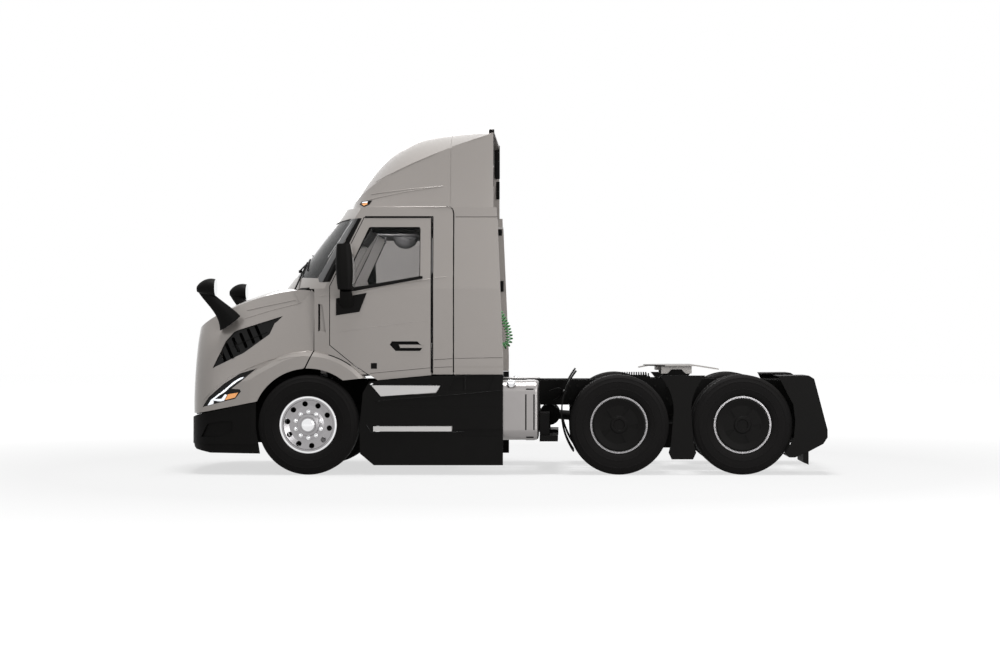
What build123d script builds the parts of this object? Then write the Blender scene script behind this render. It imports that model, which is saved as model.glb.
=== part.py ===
"""Day-cab semi truck tractor unit, 6x4: tilting hood, two doors, steered front wheels, rocking coupling.

Units are millimetres. +X points forward, +Y to the driver's left, +Z up. The origin is on the ground
under the middle of the truck's overall box.
"""

import os
from collections import namedtuple
from math import cos, radians, sin, tan

from build123d import *

# ---------------------------------------------------------------- driving dimensions
FRONT_END, REAR_END = 3390.0, -3390.0
FRONT_AXLE_X = 2043.0
TANDEM_X = -1856.5
TANDEM_SPREAD = 1293.0
DRIVE_AXLE_X = (TANDEM_X + TANDEM_SPREAD / 2, TANDEM_X - TANDEM_SPREAD / 2)
TYRE_RADIUS = 523.0
TYRE_WIDTH = 278.0
BEAD_RADIUS = 288.0
FLANGE_RADIUS = 300.0
AXLE_Z = TYRE_RADIUS
WHEEL_FACE_Y = 1219.0
DUAL_SPACING = 343.0
KINGPIN_Y = 880.0
KINGPIN_R = 22.9
TIE_PIN_R = 11.9
STUB_RADIUS, STUB_END = 38.0, 1140.0
TIE_ROD_BACK = 230.0

RAIL_TOP, RAIL_HEIGHT, RAIL_OUTER_Y, RAIL_FLANGE, RAIL_WEB = 980.0, 270.0, 430.0, 85.0, 10.0
RAIL_FRONT_X, RAIL_REAR_X = 3080.0, -3240.0
RAIL_BOTTOM = RAIL_TOP - RAIL_HEIGHT

CAB_BACK_X = 530.0
CAB_FRONT_X = 1985.0
SILL_Z, BELT_Z, HEADER_Z, ROOF_Z = 1050.0, 1990.0, 2702.0, 2807.0
CAB_WALL = 62.0
GAP = 8.0
DOOR_FRONT_X, DOOR_REAR_X = 1826.0, 747.0

EXTENDER_REAR_X = 4.0
SKIRT_Y = 1200.0
SKIRT_SKIN = 22.0
SKIRT_BOTTOM = 101.0

HOOD_SKIN = 26.0
ARCH_RADIUS = 590.0
FLARE_RADIUS = 775.0
FLARE_Y = 1196.0
BUMPER_SKIN = 28.0

FIFTH_PIVOT_Z = 1062.0
FIFTH_TOP = 1142.0
FIFTH_HALF_WIDTH = 457.0
KINGPIN_LOCK_R = 25.6

os.makedirs("parts", exist_ok=True)


# ---------------------------------------------------------------- helpers
def save(part, name):
    """Label a finished piece and write it."""
    part.label = name
    export_step(part, f"parts/{name}.step")


def side_slab(outline, y_low, y_high):
    """Solid with a side-view outline of (x, z) corners, between two widths."""
    with BuildPart() as slab:
        with BuildSketch(Plane.XZ.offset(-y_low)):
            with BuildLine():
                Polyline(*outline, close=True)
            make_face()
        extrude(amount=-(y_high - y_low))
    return slab.part


def block(x_low, x_high, y_low, y_high, z_low, z_high):
    """Plain box between six limits."""
    with BuildPart() as solid:
        with BuildSketch(Plane.XY.offset(z_low)):
            with Locations(((x_low + x_high) / 2, (y_low + y_high) / 2)):
                Rectangle(x_high - x_low, y_high - y_low)
        extrude(amount=z_high - z_low)
    return solid.part


def cross_bar(x, z, radius, y_low, y_high):
    """Round bar that runs across the truck."""
    with BuildPart() as bar:
        with BuildSketch(Plane.XZ.offset(-y_low)):
            with Locations((x, z)):
                Circle(radius)
        extrude(amount=-(y_high - y_low))
    return bar.part


def both_sides(part, *cut_away):
    """A left-hand piece and its right-hand twin, in one node."""
    with BuildPart() as pair:
        add(part)
        for other in cut_away:
            add(other, mode=Mode.SUBTRACT)
        mirror(about=Plane.XZ)
    return pair.part


def joined(*parts):
    """Several solids as one piece."""
    with BuildPart() as whole:
        for part in parts:
            add(part)
    return whole.part


def without(part, *others):
    """A piece with its neighbours' room taken out of it."""
    with BuildPart() as trimmed:
        add(part)
        for other in others:
            add(other, mode=Mode.SUBTRACT)
    return trimmed.part


def common(part, *others):
    """What several solids share."""
    with BuildPart() as shared:
        add(part)
        for other in others:
            add(other, mode=Mode.INTERSECT)
    return shared.part


def right_hand(part):
    """The right-hand twin of a left-hand piece."""
    return mirror(part, about=Plane.XZ)


# ---------------------------------------------------------------- frame
def frame_rail():
    """Left C-channel rail, open towards the middle."""
    inner_y = RAIL_OUTER_Y - RAIL_FLANGE
    with BuildPart() as rail:
        with BuildSketch(Plane.YZ.offset(RAIL_REAR_X)):
            with BuildLine():
                Polyline(
                    (RAIL_OUTER_Y, RAIL_BOTTOM),
                    (RAIL_OUTER_Y, RAIL_TOP),
                    (inner_y, RAIL_TOP),
                    (inner_y, RAIL_TOP - RAIL_WEB),
                    (RAIL_OUTER_Y - RAIL_WEB, RAIL_TOP - RAIL_WEB),
                    (RAIL_OUTER_Y - RAIL_WEB, RAIL_BOTTOM + RAIL_WEB),
                    (inner_y, RAIL_BOTTOM + RAIL_WEB),
                    (inner_y, RAIL_BOTTOM),
                    close=True,
                )
            make_face()
        extrude(amount=RAIL_FRONT_X - RAIL_REAR_X)
    return rail.part


save(both_sides(frame_rail()), "frame_rails")

CROSSMEMBER_X = (-3200.0, -2750.0, TANDEM_X, -1000.0, -300.0, 500.0, 2942.0)
CROSS_HALF = RAIL_OUTER_Y - RAIL_WEB
with BuildPart() as crossmembers:
    for cross_x in CROSSMEMBER_X:
        with BuildSketch(Plane.XZ.offset(CROSS_HALF)):
            with Locations((cross_x, (RAIL_TOP + RAIL_BOTTOM) / 2)):
                Rectangle(70, 180)
                Rectangle(54, 156, mode=Mode.SUBTRACT)
        extrude(amount=-2 * CROSS_HALF)
    # closing plate at the frame's end, with a hitch bolt pattern
    with BuildSketch(Plane.YZ.offset(RAIL_REAR_X - 12)):
        with Locations((0, (RAIL_TOP + RAIL_BOTTOM) / 2)):
            Rectangle(2 * RAIL_OUTER_Y, RAIL_HEIGHT)
            with GridLocations(86, 83, 2, 2):
                Circle(8.5, mode=Mode.SUBTRACT)
    extrude(amount=12)
save(crossmembers.part, "crossmembers")


# ---------------------------------------------------------------- engine, driveline and axles
engine = joined(
    block(2010, 2900, -320, 320, 640, 1560),
    block(1000, 2010, -230, 230, 560, 900),
)
radiator = block(2985, 3075, -330, 330, 600, 1440)
save(joined(engine, radiator), "engine_block")


def beam_axle():
    """Dropped front beam with an upright eye at each end, bored for the kingpin."""
    with BuildPart() as beam:
        with BuildSketch(Plane.YZ.offset(FRONT_AXLE_X - 55)):
            with BuildLine():
                Polyline(
                    (0, 380),
                    (560, 380),
                    (770, 455),
                    (850, 455),
                    (850, 575),
                    (750, 575),
                    (545, 485),
                    (0, 485),
                    close=True,
                )
            make_face()
            mirror(about=Plane.YZ)
        extrude(amount=110)
        for side in (-1, 1):
            with BuildSketch(Plane.XY.offset(455)):
                with Locations((FRONT_AXLE_X, side * KINGPIN_Y)):
                    Circle(58)
            extrude(amount=120)
        for side in (-1, 1):
            with BuildSketch(Plane.XY.offset(400)):
                with Locations((FRONT_AXLE_X, side * KINGPIN_Y)):
                    Circle(KINGPIN_R + 0.1)
            extrude(amount=240, mode=Mode.SUBTRACT)
    return beam.part


def spring_seat(x):
    """Pad that joins the front beam to its leaf spring."""
    return block(x - 60, x + 60, 345, 425, 485, 560)


front_axle = joined(
    beam_axle(), spring_seat(FRONT_AXLE_X), right_hand(spring_seat(FRONT_AXLE_X))
)
save(front_axle, "front_axle")

AXLE_TUBE_END = 640.0


def drive_axle(x):
    """Axle housing with its differential bowl."""
    with BuildPart() as housing:
        with BuildSketch(Plane.XZ.offset(AXLE_TUBE_END)):
            with Locations((x, AXLE_Z)):
                Circle(68)
        extrude(amount=-2 * AXLE_TUBE_END)
        with BuildSketch(Plane.XZ.offset(150)):
            with Locations((x, AXLE_Z)):
                Circle(205)
        extrude(amount=-300)
        fillet(housing.edges().filter_by(GeomType.CIRCLE).group_by(SortBy.RADIUS)[-1], 60)
        with BuildSketch(Plane.YZ.offset(x + 150)):
            with Locations((0, AXLE_Z + 40)):
                Circle(95)
        extrude(amount=160)
    return housing.part


SHAFT_Z = AXLE_Z + 40


def driveshaft(x_rear, x_front, z_rear, z_front):
    """Tube between two yokes."""
    with BuildPart() as shaft:
        with BuildLine() as line:
            Line((x_rear, 0, z_rear), (x_front, 0, z_front))
        with BuildSketch(Plane(origin=line.line @ 0, z_dir=line.line % 0)):
            Circle(52)
        sweep()
    return shaft.part


shaft_front = driveshaft(DRIVE_AXLE_X[0] + 310, 1000, SHAFT_Z, 720)
shaft_rear = driveshaft(DRIVE_AXLE_X[1] + 310, DRIVE_AXLE_X[0] - 205, SHAFT_Z, SHAFT_Z - 40)
axles = joined(drive_axle(DRIVE_AXLE_X[0]), drive_axle(DRIVE_AXLE_X[1]))
save(
    joined(axles, without(shaft_front, axles, engine), without(shaft_rear, axles)), "drive_axles"
)


def leaf_pack(x):
    """Front leaf spring: stepped leaves between two frame hangers."""
    with BuildPart() as pack:
        with BuildSketch(Plane.XZ.offset(-345)):
            with BuildLine():
                lower = ThreePointArc((x - 480, 690), (x, 572), (x + 480, 690))
                upper = ThreePointArc((x - 480, 712), (x, 594), (x + 480, 712))
                Line(lower @ 0, upper @ 0)
                Line(lower @ 1, upper @ 1)
            make_face()
        extrude(amount=-80)
        with BuildSketch(Plane.XZ.offset(-345)):
            with BuildLine():
                low_arc = ThreePointArc((x - 330, 622), (x, 560), (x + 330, 622))
                top_arc = ThreePointArc((x - 330, 646), (x, 580), (x + 330, 646))
                Line(low_arc @ 0, top_arc @ 0)
                Line(low_arc @ 1, top_arc @ 1)
            make_face()
        extrude(amount=-80)
        for hanger_x in (x - 480, x + 480):
            with BuildSketch(Plane.XZ.offset(-345)):
                with Locations((hanger_x, 695)):
                    Circle(34)
            extrude(amount=-80)
    return pack.part


def air_spring(x):
    """Trailing arm under a drive axle with an air bellows at its rear end."""
    arm = side_slab(
        [(x + 420, 700), (x + 520, 700), (x + 500, 560), (x + 80, 430), (x - 330, 430),
         (x - 330, 470), (x - 80, 470), (x - 80, 455), (x + 80, 455), (x + 400, 600)],
        345, 425,
    )
    with BuildPart() as bellows:
        with BuildSketch(Plane.XY.offset(470)):
            with Locations((x - 250, 385)):
                Circle(118)
        extrude(amount=240)
        fillet(bellows.edges().filter_by(GeomType.CIRCLE), 40)
    return joined(arm, bellows.part)


suspension_left = joined(leaf_pack(FRONT_AXLE_X), *[air_spring(x) for x in DRIVE_AXLE_X])
rail_left = frame_rail()
save(
    both_sides(suspension_left, rail_left, axles, front_axle, crossmembers.part), "suspension"
)


# ---------------------------------------------------------------- steering
def knuckle():
    """Left steering knuckle: forked ears on the kingpin, a stub axle and a steering arm."""
    with BuildPart() as body:
        for low in (405, 581):
            with BuildSketch(Plane.XY.offset(low)):
                with Locations((FRONT_AXLE_X, KINGPIN_Y)):
                    Circle(56)
                with Locations((FRONT_AXLE_X, KINGPIN_Y + 50)):
                    Rectangle(110, 64)
            extrude(amount=44)
        with BuildSketch(Plane.XY.offset(405)):
            with Locations((FRONT_AXLE_X, KINGPIN_Y)):
                Circle(KINGPIN_R)
        extrude(amount=220)
        with BuildSketch(Plane.XZ.offset(-(KINGPIN_Y + 64))):
            with Locations((FRONT_AXLE_X, AXLE_Z)):
                Rectangle(150, 236)
        extrude(amount=-18)
        with BuildSketch(Plane.XZ.offset(-(KINGPIN_Y + 82))):
            with Locations((FRONT_AXLE_X, AXLE_Z)):
                Circle(STUB_RADIUS)
        extrude(amount=-(STUB_END - KINGPIN_Y - 82))
        with BuildSketch(Plane.XY.offset(405)):
            with BuildLine():
                Polyline(
                    (FRONT_AXLE_X - 40, KINGPIN_Y + 25),
                    (FRONT_AXLE_X - 40, KINGPIN_Y - 25),
                    (FRONT_AXLE_X - TIE_ROD_BACK, KINGPIN_Y - 25),
                    (FRONT_AXLE_X - TIE_ROD_BACK, KINGPIN_Y + 25),
                    close=True,
                )
            make_face()
            with Locations((FRONT_AXLE_X - TIE_ROD_BACK, KINGPIN_Y)):
                Circle(30)
        extrude(amount=30)
        with BuildSketch(Plane.XY.offset(360)):
            with Locations((FRONT_AXLE_X - TIE_ROD_BACK, KINGPIN_Y)):
                Circle(TIE_PIN_R)
        extrude(amount=45)
    return body.part


knuckle_left = knuckle()
save(knuckle_left, "knuckle_left")
save(right_hand(knuckle_left), "knuckle_right")

with BuildPart() as tie_rod:
    tie_x = FRONT_AXLE_X - TIE_ROD_BACK
    with BuildSketch(Plane.XZ.offset(KINGPIN_Y)):
        with Locations((tie_x, 380)):
            Circle(17)
    extrude(amount=-2 * KINGPIN_Y)
    with BuildSketch(Plane.XY.offset(359)):
        for eye_y in (-KINGPIN_Y, KINGPIN_Y):
            with Locations((tie_x, eye_y)):
                Circle(30)
    extrude(amount=40)
    # the right-hand eye is the linkage's open pivot, so it is wider
    with BuildSketch(Plane.XY.offset(350)):
        for eye_y, eye_r in ((-KINGPIN_Y, TIE_PIN_R + 2), (KINGPIN_Y, TIE_PIN_R + 0.1)):
            with Locations((tie_x, eye_y)):
                Circle(eye_r)
    extrude(amount=60, mode=Mode.SUBTRACT)
save(tie_rod.part, "tie_rod")


# ---------------------------------------------------------------- wheels
# radius and distance in from the tyre's widest face, from the bead to the crown
TYRE_SECTION = (
    (BEAD_RADIUS, 34), (FLANGE_RADIUS + 3, 34), (FLANGE_RADIUS + 30, 12), (385, 1), (430, 0), (474, 8),
    (506, 24), (TYRE_RADIUS, 44),
)


def tyre(axle_x, mid_y):
    """Tyre of revolution: beads, bulged sidewalls, rounded shoulders and a flat crown."""
    half = TYRE_WIDTH / 2
    outer = [(radius, mid_y + half - inset) for radius, inset in TYRE_SECTION]
    inner = [(radius, mid_y - half + inset) for radius, inset in TYRE_SECTION]
    return revolved(axle_x, outer + inner[::-1])


def revolved(axle_x, outline):
    """Solid of revolution about an axle line, from (radius, y) corners."""
    with BuildPart() as body:
        with BuildSketch(Plane.XY.offset(AXLE_Z)):
            with BuildLine():
                Polyline(*[(axle_x + radius, y) for radius, y in outline], close=True)
            make_face()
        revolve(axis=Axis((axle_x, 0, AXLE_Z), (0, 1, 0)))
    return body.part


def rim(axle_x, mid_y, disc_y, disc_slope):
    """Steel or alloy wheel: barrel with two flanges, and a dished disc at disc_y."""
    half = TYRE_WIDTH / 2 - 34
    low, high = mid_y - half, mid_y + half
    barrel = revolved(
        axle_x,
        [(262, low - 4), (FLANGE_RADIUS, low - 4), (FLANGE_RADIUS, low), (BEAD_RADIUS, low),
         (BEAD_RADIUS, high), (FLANGE_RADIUS, high), (FLANGE_RADIUS, high + 4), (262, high + 4),
         (250, high - 30), (250, low + 30)],
    )
    disc = revolved(
        axle_x,
        [(140, disc_y - 12), (200, disc_y - 12), (262, disc_y - 12 + disc_slope),
         (262, disc_y + 12 + disc_slope), (200, disc_y + 12), (140, disc_y + 12)],
    )
    return joined(barrel, disc)


HAND_HOLES = 10


def hand_holes(axle_x, y_low, y_high, radius, pitch_radius):
    """Ring of round holes through a wheel disc."""
    with BuildPart() as holes:
        with BuildSketch(Plane(origin=(axle_x, y_low, AXLE_Z), z_dir=(0, 1, 0))):
            with PolarLocations(pitch_radius, HAND_HOLES, start_angle=9):
                Circle(radius)
        extrude(amount=y_high - y_low)
    return holes.part


STEER_MID_Y = WHEEL_FACE_Y - TYRE_WIDTH / 2


def front_wheel():
    """Left front alloy wheel: domed disc with hand holes, and a hub with its cap and nut ring."""
    disc_y = STEER_MID_Y + 66
    hub = revolved(
        FRONT_AXLE_X,
        [(STUB_RADIUS + 0.1, 968), (150, 968), (150, 1010), (165, 1010), (165, disc_y + 16),
         (140, disc_y + 22), (118, disc_y + 22), (112, disc_y + 44), (84, disc_y + 50),
         (80, disc_y + 64), (0, disc_y + 68), (0, STUB_END + 6), (STUB_RADIUS + 0.1, STUB_END + 6)],
    )
    wheel = joined(rim(FRONT_AXLE_X, STEER_MID_Y, disc_y, 18), hub)
    return without(
        wheel, hand_holes(FRONT_AXLE_X, disc_y - 60, disc_y + 90, 29, 222)
    )


OUTER_MID_Y = WHEEL_FACE_Y - TYRE_WIDTH / 2
INNER_MID_Y = OUTER_MID_Y - DUAL_SPACING


COVER_START = 42


def rear_wheel(axle_x):
    """Left dual wheels: two rims bolted back to back, a hub, and a closed aero cover with five recesses."""
    disc_y = (OUTER_MID_Y + INNER_MID_Y) / 2
    hub = revolved(
        axle_x,
        [(68.4, 610), (208, 610), (208, 790), (165, 800), (165, disc_y + 24), (120, disc_y + 30),
         (120, 1100), (0, 1100), (0, 700), (68.4, 700)],
    )
    face = OUTER_MID_Y + TYRE_WIDTH / 2 - 42
    cover = revolved(
        axle_x,
        [(0, face - 14), (250, face - 20), (258, face + 12.5), (281, face + 12.5), (281, face + 18),
         (262, face + 24), (200, face + 14), (96, face + 14), (80, face + 26), (60, face + 26),
         (52, face + 16), (0, face + 16)],
    )
    with BuildPart() as recesses:
        for spoke in range(5):
            spoke_x = cos(radians(COVER_START + 72 * spoke))
            spoke_z = sin(radians(COVER_START + 72 * spoke))
            turned = Plane(
                origin=(axle_x, face + 6, AXLE_Z), x_dir=(spoke_x, 0, spoke_z), z_dir=(0, 1, 0)
            )
            with BuildSketch(turned):
                with Locations((150, 0)):
                    Trapezoid(58, 88, 104, rotation=-90)
            extrude(amount=60, taper=10)
    rims = joined(
        rim(axle_x, OUTER_MID_Y, disc_y + 13, 0), rim(axle_x, INNER_MID_Y, disc_y - 13, 0), hub
    )
    return joined(rims, without(cover, recesses.part), cross_bar(axle_x, AXLE_Z, 60, 1090, face - 10))


steer_tyre = tyre(FRONT_AXLE_X, STEER_MID_Y)
steer_wheel = front_wheel()
save(steer_tyre, "tyre_front_left")
save(right_hand(steer_tyre), "tyre_front_right")
save(steer_wheel, "rim_front_left")
save(right_hand(steer_wheel), "rim_front_right")
for number, drive_x in enumerate(DRIVE_AXLE_X, start=1):
    dual_tyres = joined(tyre(drive_x, OUTER_MID_Y), tyre(drive_x, INNER_MID_Y))
    dual_rims = rear_wheel(drive_x)
    save(dual_tyres, f"tyres_rear_{number}_left")
    save(right_hand(dual_tyres), f"tyres_rear_{number}_right")
    save(dual_rims, f"rims_rear_{number}_left")
    save(right_hand(dual_rims), f"rims_rear_{number}_right")


# ---------------------------------------------------------------- cab shell
CabRow = namedtuple("CabRow", "z half_width corner_x centre_x")
CAB_ROWS = (
    CabRow(BELT_Z - 40, 1152, 1874, 2414),
    CabRow(HEADER_Z, 1096, 1556, 1838),
    CabRow(ROOF_Z, 1086, 1490, 1768),
)


def cab_outline(row, inset):
    """Plan outline of the cab, for a line builder: straight sides and a bowed front."""
    half = row.half_width - inset
    front = ThreePointArc(
        (row.corner_x - inset, half), (row.centre_x - inset, 0), (row.corner_x - inset, -half)
    )
    Polyline(front @ 1, (CAB_BACK_X + inset, -half), (CAB_BACK_X + inset, half), front @ 0)


def cab_upper(inset, top):
    """Greenhouse between the belt line and a height in the roof."""
    with BuildPart() as upper:
        for row in CAB_ROWS:
            with BuildSketch(Plane.XY.offset(row.z)):
                with BuildLine():
                    cab_outline(row, inset)
                make_face()
        loft(ruled=True)
        if top < ROOF_Z:
            split(bisect_by=Plane.XY.offset(top), keep=Keep.BOTTOM)
    return upper.part


def cab_lower(inset):
    """Body below the belt line."""
    half = CAB_ROWS[0].half_width - inset
    with BuildPart() as lower:
        with BuildSketch(Plane.XY.offset(SILL_Z)):
            with BuildLine():
                Polyline(
                    (CAB_BACK_X + inset, -half),
                    (CAB_BACK_X + inset, half),
                    (DOOR_FRONT_X, half),
                    (CAB_FRONT_X - inset, half - 22),
                    (CAB_FRONT_X - inset, -half + 22),
                    (DOOR_FRONT_X, -half),
                    close=True,
                )
            make_face()
        extrude(amount=CAB_ROWS[0].z - SILL_Z)
    return lower.part


cab_solid = joined(cab_upper(0, ROOF_Z), cab_lower(0))
cab_room = joined(cab_upper(CAB_WALL, ROOF_Z - 50), cab_lower(CAB_WALL))
wheel_room = both_sides(cross_bar(FRONT_AXLE_X, AXLE_Z, ARCH_RADIUS, 560, 1300))
cab_shell = without(cab_solid, cab_room, wheel_room)
CREASE_DEPTH = 5.0
cab_inset = joined(cab_upper(CREASE_DEPTH, ROOF_Z), cab_lower(CREASE_DEPTH))

DOOR_OUTLINE = [
    (DOOR_FRONT_X, 1355), (DOOR_FRONT_X, 1975), (1468, HEADER_Z), (DOOR_REAR_X, HEADER_Z),
    (DOOR_REAR_X, SILL_Z - 20), (1398, SILL_Z - 20), (1563, 1140),
]
DOOR_WINDOW = [
    (1590, 1948), (1640, 2092), (1408, 2585), (1392, 2590), (884, 2590), (872, 2578), (874, 2072),
]
SIDE_INNER_Y = 1030.0
side_zone = block(CAB_BACK_X + CAB_WALL, 2400, SIDE_INNER_Y, 1300, 900, 2900)


def shrunk(outline, amount):
    """The same outline as a face, moved in by an amount, as a slab across the door wall."""
    with BuildPart() as slab:
        with BuildSketch(Plane.XZ.offset(-SIDE_INNER_Y)):
            with BuildLine():
                Polyline(*outline, close=True)
            make_face()
            if amount:
                offset(amount=-amount, kind=Kind.INTERSECTION)
        extrude(amount=-(1300 - SIDE_INNER_Y))
    return slab.part


door_hole = shrunk(DOOR_OUTLINE, 0)
door_blank = shrunk(DOOR_OUTLINE, GAP)
window_hole = shrunk(DOOR_WINDOW, 0)

# the whole cab, cut into its real panels
front_zone = side_slab(
    [(1986, 900), (2500, 900), (2500, 2400), (1900, 2900), (1496, 2900), (1496, 2745),
     (1850, 2020), (1850, 1986), (1900, 1960), (1900, 900)],
    -1300, 1300,
)
roof_zone = block(CAB_BACK_X + CAB_WALL, 2400, -1300, 1300, ROOF_Z - 50, 2900)
side_panel = without(common(cab_shell, side_zone), front_zone, roof_zone)
skin_y = CAB_ROWS[0].half_width
intake = side_slab(
    [(1862, 1494), (1943, 1520), (1943, 1794), (1898, 1780)], skin_y - 42, skin_y + 5
)
cab_side = without(side_panel, door_hole, intake)
with BuildPart() as cab_back:
    add(common(cab_shell, block(CAB_BACK_X - 5, CAB_BACK_X + CAB_WALL, -1300, 1300, SILL_Z, 2900)))
    with BuildSketch(Plane.YZ.offset(CAB_BACK_X - 10)):
        with Locations((0, 2290)):
            RectangleRounded(1150, 460, 60)
    extrude(amount=CAB_WALL + 30, mode=Mode.SUBTRACT)
save(cab_back.part, "cab_back")

save(without(common(cab_shell, roof_zone), front_zone), "cab_roof")

floor_half = CAB_ROWS[0].half_width - CAB_WALL
floor_blank = block(
    CAB_BACK_X + CAB_WALL, CAB_FRONT_X - CAB_WALL, -floor_half, floor_half, SILL_Z, SILL_Z + 40
)
door_sweep = both_sides(block(DOOR_REAR_X - 10, DOOR_FRONT_X + 10, floor_half - 12, 1300, 900, 1200))
save(without(floor_blank, cab_shell, wheel_room, door_sweep), "cab_floor")


def windshield_band(inset, thickness, cutter):
    """Part of the cab's bowed front wall, between two depths, inside a cutter."""
    return common(
        without(cab_upper(inset, ROOF_Z), cab_upper(inset + thickness, ROOF_Z)), cutter
    )


windshield_zone = side_slab(
    [(1900, 2058), (2500, 2100), (2500, 2600), (1640, 2690), (1500, 2690), (1800, 2058)],
    -1000, 1000,
)
cab_front = without(common(cab_shell, front_zone), windshield_zone, intake, right_hand(intake))
save(cab_front, "cab_front")

windshield = windshield_band(8, 10, windshield_zone)
with BuildPart() as rear_window:
    with BuildSketch(Plane.YZ.offset(CAB_BACK_X + 10)):
        with Locations((0, 2290)):
            RectangleRounded(1150, 460, 60)
    extrude(amount=8)
save(joined(windshield, rear_window.part), "cab_glass")


# ---------------------------------------------------------------- doors
HANDLE_CUP = (844.0, 1191.0, 1296.0, 1397.0)
CREASE = ((DOOR_REAR_X - 5, 2046), (1640, 1899))


def door():
    """Left door: one panel with a window opening, a handle in its cup, a crease and a lower lip."""
    wall = common(cab_shell, side_zone)
    panel = without(common(without(wall, roof_zone), door_blank), window_hole)
    x_low, x_high, z_low, z_high = HANDLE_CUP
    mid_z = (z_low + z_high) / 2
    cup = side_slab(
        [(x_low, mid_z - 8), (x_low + 30, z_low), (x_high - 60, z_low), (x_high, mid_z + 14),
         (x_high - 20, z_high), (x_low + 60, z_high)],
        skin_y - 34, skin_y + 5,
    )
    pull = side_slab(
        [(x_low - 4, mid_z + 2), (x_low + 6, mid_z - 18), (x_high - 110, mid_z - 18),
         (x_high - 96, mid_z + 16), (x_low + 40, mid_z + 16)],
        skin_y - 6, skin_y + 12,
    )
    post = side_slab(
        [(x_high - 140, mid_z - 14), (x_high - 112, mid_z - 14), (x_high - 112, mid_z + 12),
         (x_high - 140, mid_z + 12)],
        skin_y - 36, skin_y - 4,
    )
    sill = side_slab(
        [(DOOR_REAR_X + GAP, 1060), (1424, 1060), (1318, 990), (DOOR_REAR_X + GAP, 1043)],
        skin_y - 22, skin_y,
    )
    (x_rear, z_rear), (x_front, z_front) = CREASE
    crease = common(
        side_slab(
            [(x_rear, z_rear - 40), (x_front, z_front - 40), (x_front + 190, z_front - 62),
             (x_front + 190, z_front - 22), (x_front, z_front), (x_rear, z_rear)],
            SIDE_INNER_Y, 1300,
        ),
        without(cab_solid, cab_inset),
    )
    return joined(without(panel, cup, crease), pull, post, sill)


def door_glass():
    """Left door pane, flush in its opening."""
    band = without(cab_upper(12, ROOF_Z), cab_upper(20, ROOF_Z))
    return common(common(band, side_zone), window_hole)


door_left = door()
glass_left = door_glass()
save(door_left, "door_left")
save(right_hand(door_left), "door_right")
save(glass_left, "door_glass_left")
save(right_hand(glass_left), "door_glass_right")


def door_mirror():
    """Left door mirror: base plate on the door, curved arm and a tall housing."""
    base = side_slab([(1753, 1669), (1753, 1847), (1435, 1904), (1509, 1707)], skin_y, skin_y + 16)
    with BuildPart() as arm:
        with BuildSketch(Plane.XZ.offset(-(skin_y + 16))):
            with Locations((1640, 1790)):
                Ellipse(75, 52)
        with BuildSketch(Plane(origin=(1640, 1290, 1930), x_dir=(1, 0, 0), z_dir=(0, 0.45, 0.9))):
            Ellipse(62, 40)
        loft()
    with BuildPart() as head:
        with BuildSketch(Plane.XY.offset(1936)):
            with Locations((1634, 1345)):
                RectangleRounded(150, 235, 50)
        with BuildSketch(Plane.XY.offset(2180)):
            with Locations((1640, 1350)):
                RectangleRounded(178, 255, 60)
        with BuildSketch(Plane.XY.offset(2410)):
            with Locations((1650, 1340)):
                RectangleRounded(140, 225, 50)
        loft()
    return joined(base, arm.part, head.part)


mirror_left = door_mirror()
save(mirror_left, "mirror_left")
save(right_hand(mirror_left), "mirror_right")


# ---------------------------------------------------------------- hood
HoodRow = namedtuple("HoodRow", "z rear_half front_half nose_x sag corner")
HOOD_ROWS = (
    HoodRow(560, 1140, 985, 3380, 130, 330),
    HoodRow(1000, 1132, 955, 3378, 130, 330),
    HoodRow(1300, 1105, 880, 3360, 125, 310),
    HoodRow(1600, 1060, 780, 3325, 135, 290),
    HoodRow(2100, 965, 560, 3000, 120, 230),
)
HOOD_REAR_X = CAB_FRONT_X + 11
CROWN_DROP = 150.0


def hood_body(inset):
    """Hood volume: stacked plan outlines, topped by a crowned sloping surface."""
    rear_x = HOOD_REAR_X - 20
    with BuildPart() as body:
        for row in HOOD_ROWS:
            with BuildSketch(Plane.XY.offset(row.z)) as plan:
                rear, half = row.rear_half - inset, row.front_half - inset
                nose = row.nose_x - inset
                side_x = nose - row.sag
                with BuildLine():
                    front = ThreePointArc((side_x, half), (nose, 0), (side_x, -half))
                    Polyline(front @ 1, (rear_x, -rear), (rear_x, rear), front @ 0)
                make_face()
                fillet(plan.vertices().group_by(Axis.X)[-1], row.corner - inset)
        loft()
    with BuildPart() as crown:
        for y, drop in ((-1250, CROWN_DROP), (0, 0), (1250, CROWN_DROP)):
            low = drop + inset
            with BuildSketch(Plane.XZ.offset(-y)):
                with BuildLine():
                    top = ThreePointArc((1900, 2046 - low), (2500, 1954 - low), (2990, 1768 - low))
                    nose = ThreePointArc(top @ 1, (3238, 1606 - low), (3420, 1380 - low))
                    Polyline(nose @ 1, (3420, 500), (1900, 500), top @ 0)
                make_face()
        loft()
    return common(body.part, crown.part)


BUMPER_TAPER_X = 2640.0


def bumper_volume(inset, x_rear, z_low, z_high):
    """Bumper plan outline, straight up and down."""
    with BuildPart() as volume:
        with BuildSketch(Plane.XY.offset(z_low)) as plan:
            half, nose = 1186 - inset, FRONT_END - inset
            with BuildLine():
                front = ThreePointArc((nose - 150, half - 90), (nose, 0), (nose - 150, 90 - half))
                Polyline(
                    front @ 1, (BUMPER_TAPER_X, -half), (x_rear, -half), (x_rear, half),
                    (BUMPER_TAPER_X, half), front @ 0,
                )
            make_face()
            fillet(plan.vertices().group_by(Axis.X)[-1], 330 - inset)
        extrude(amount=z_high - z_low)
    return volume.part


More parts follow.
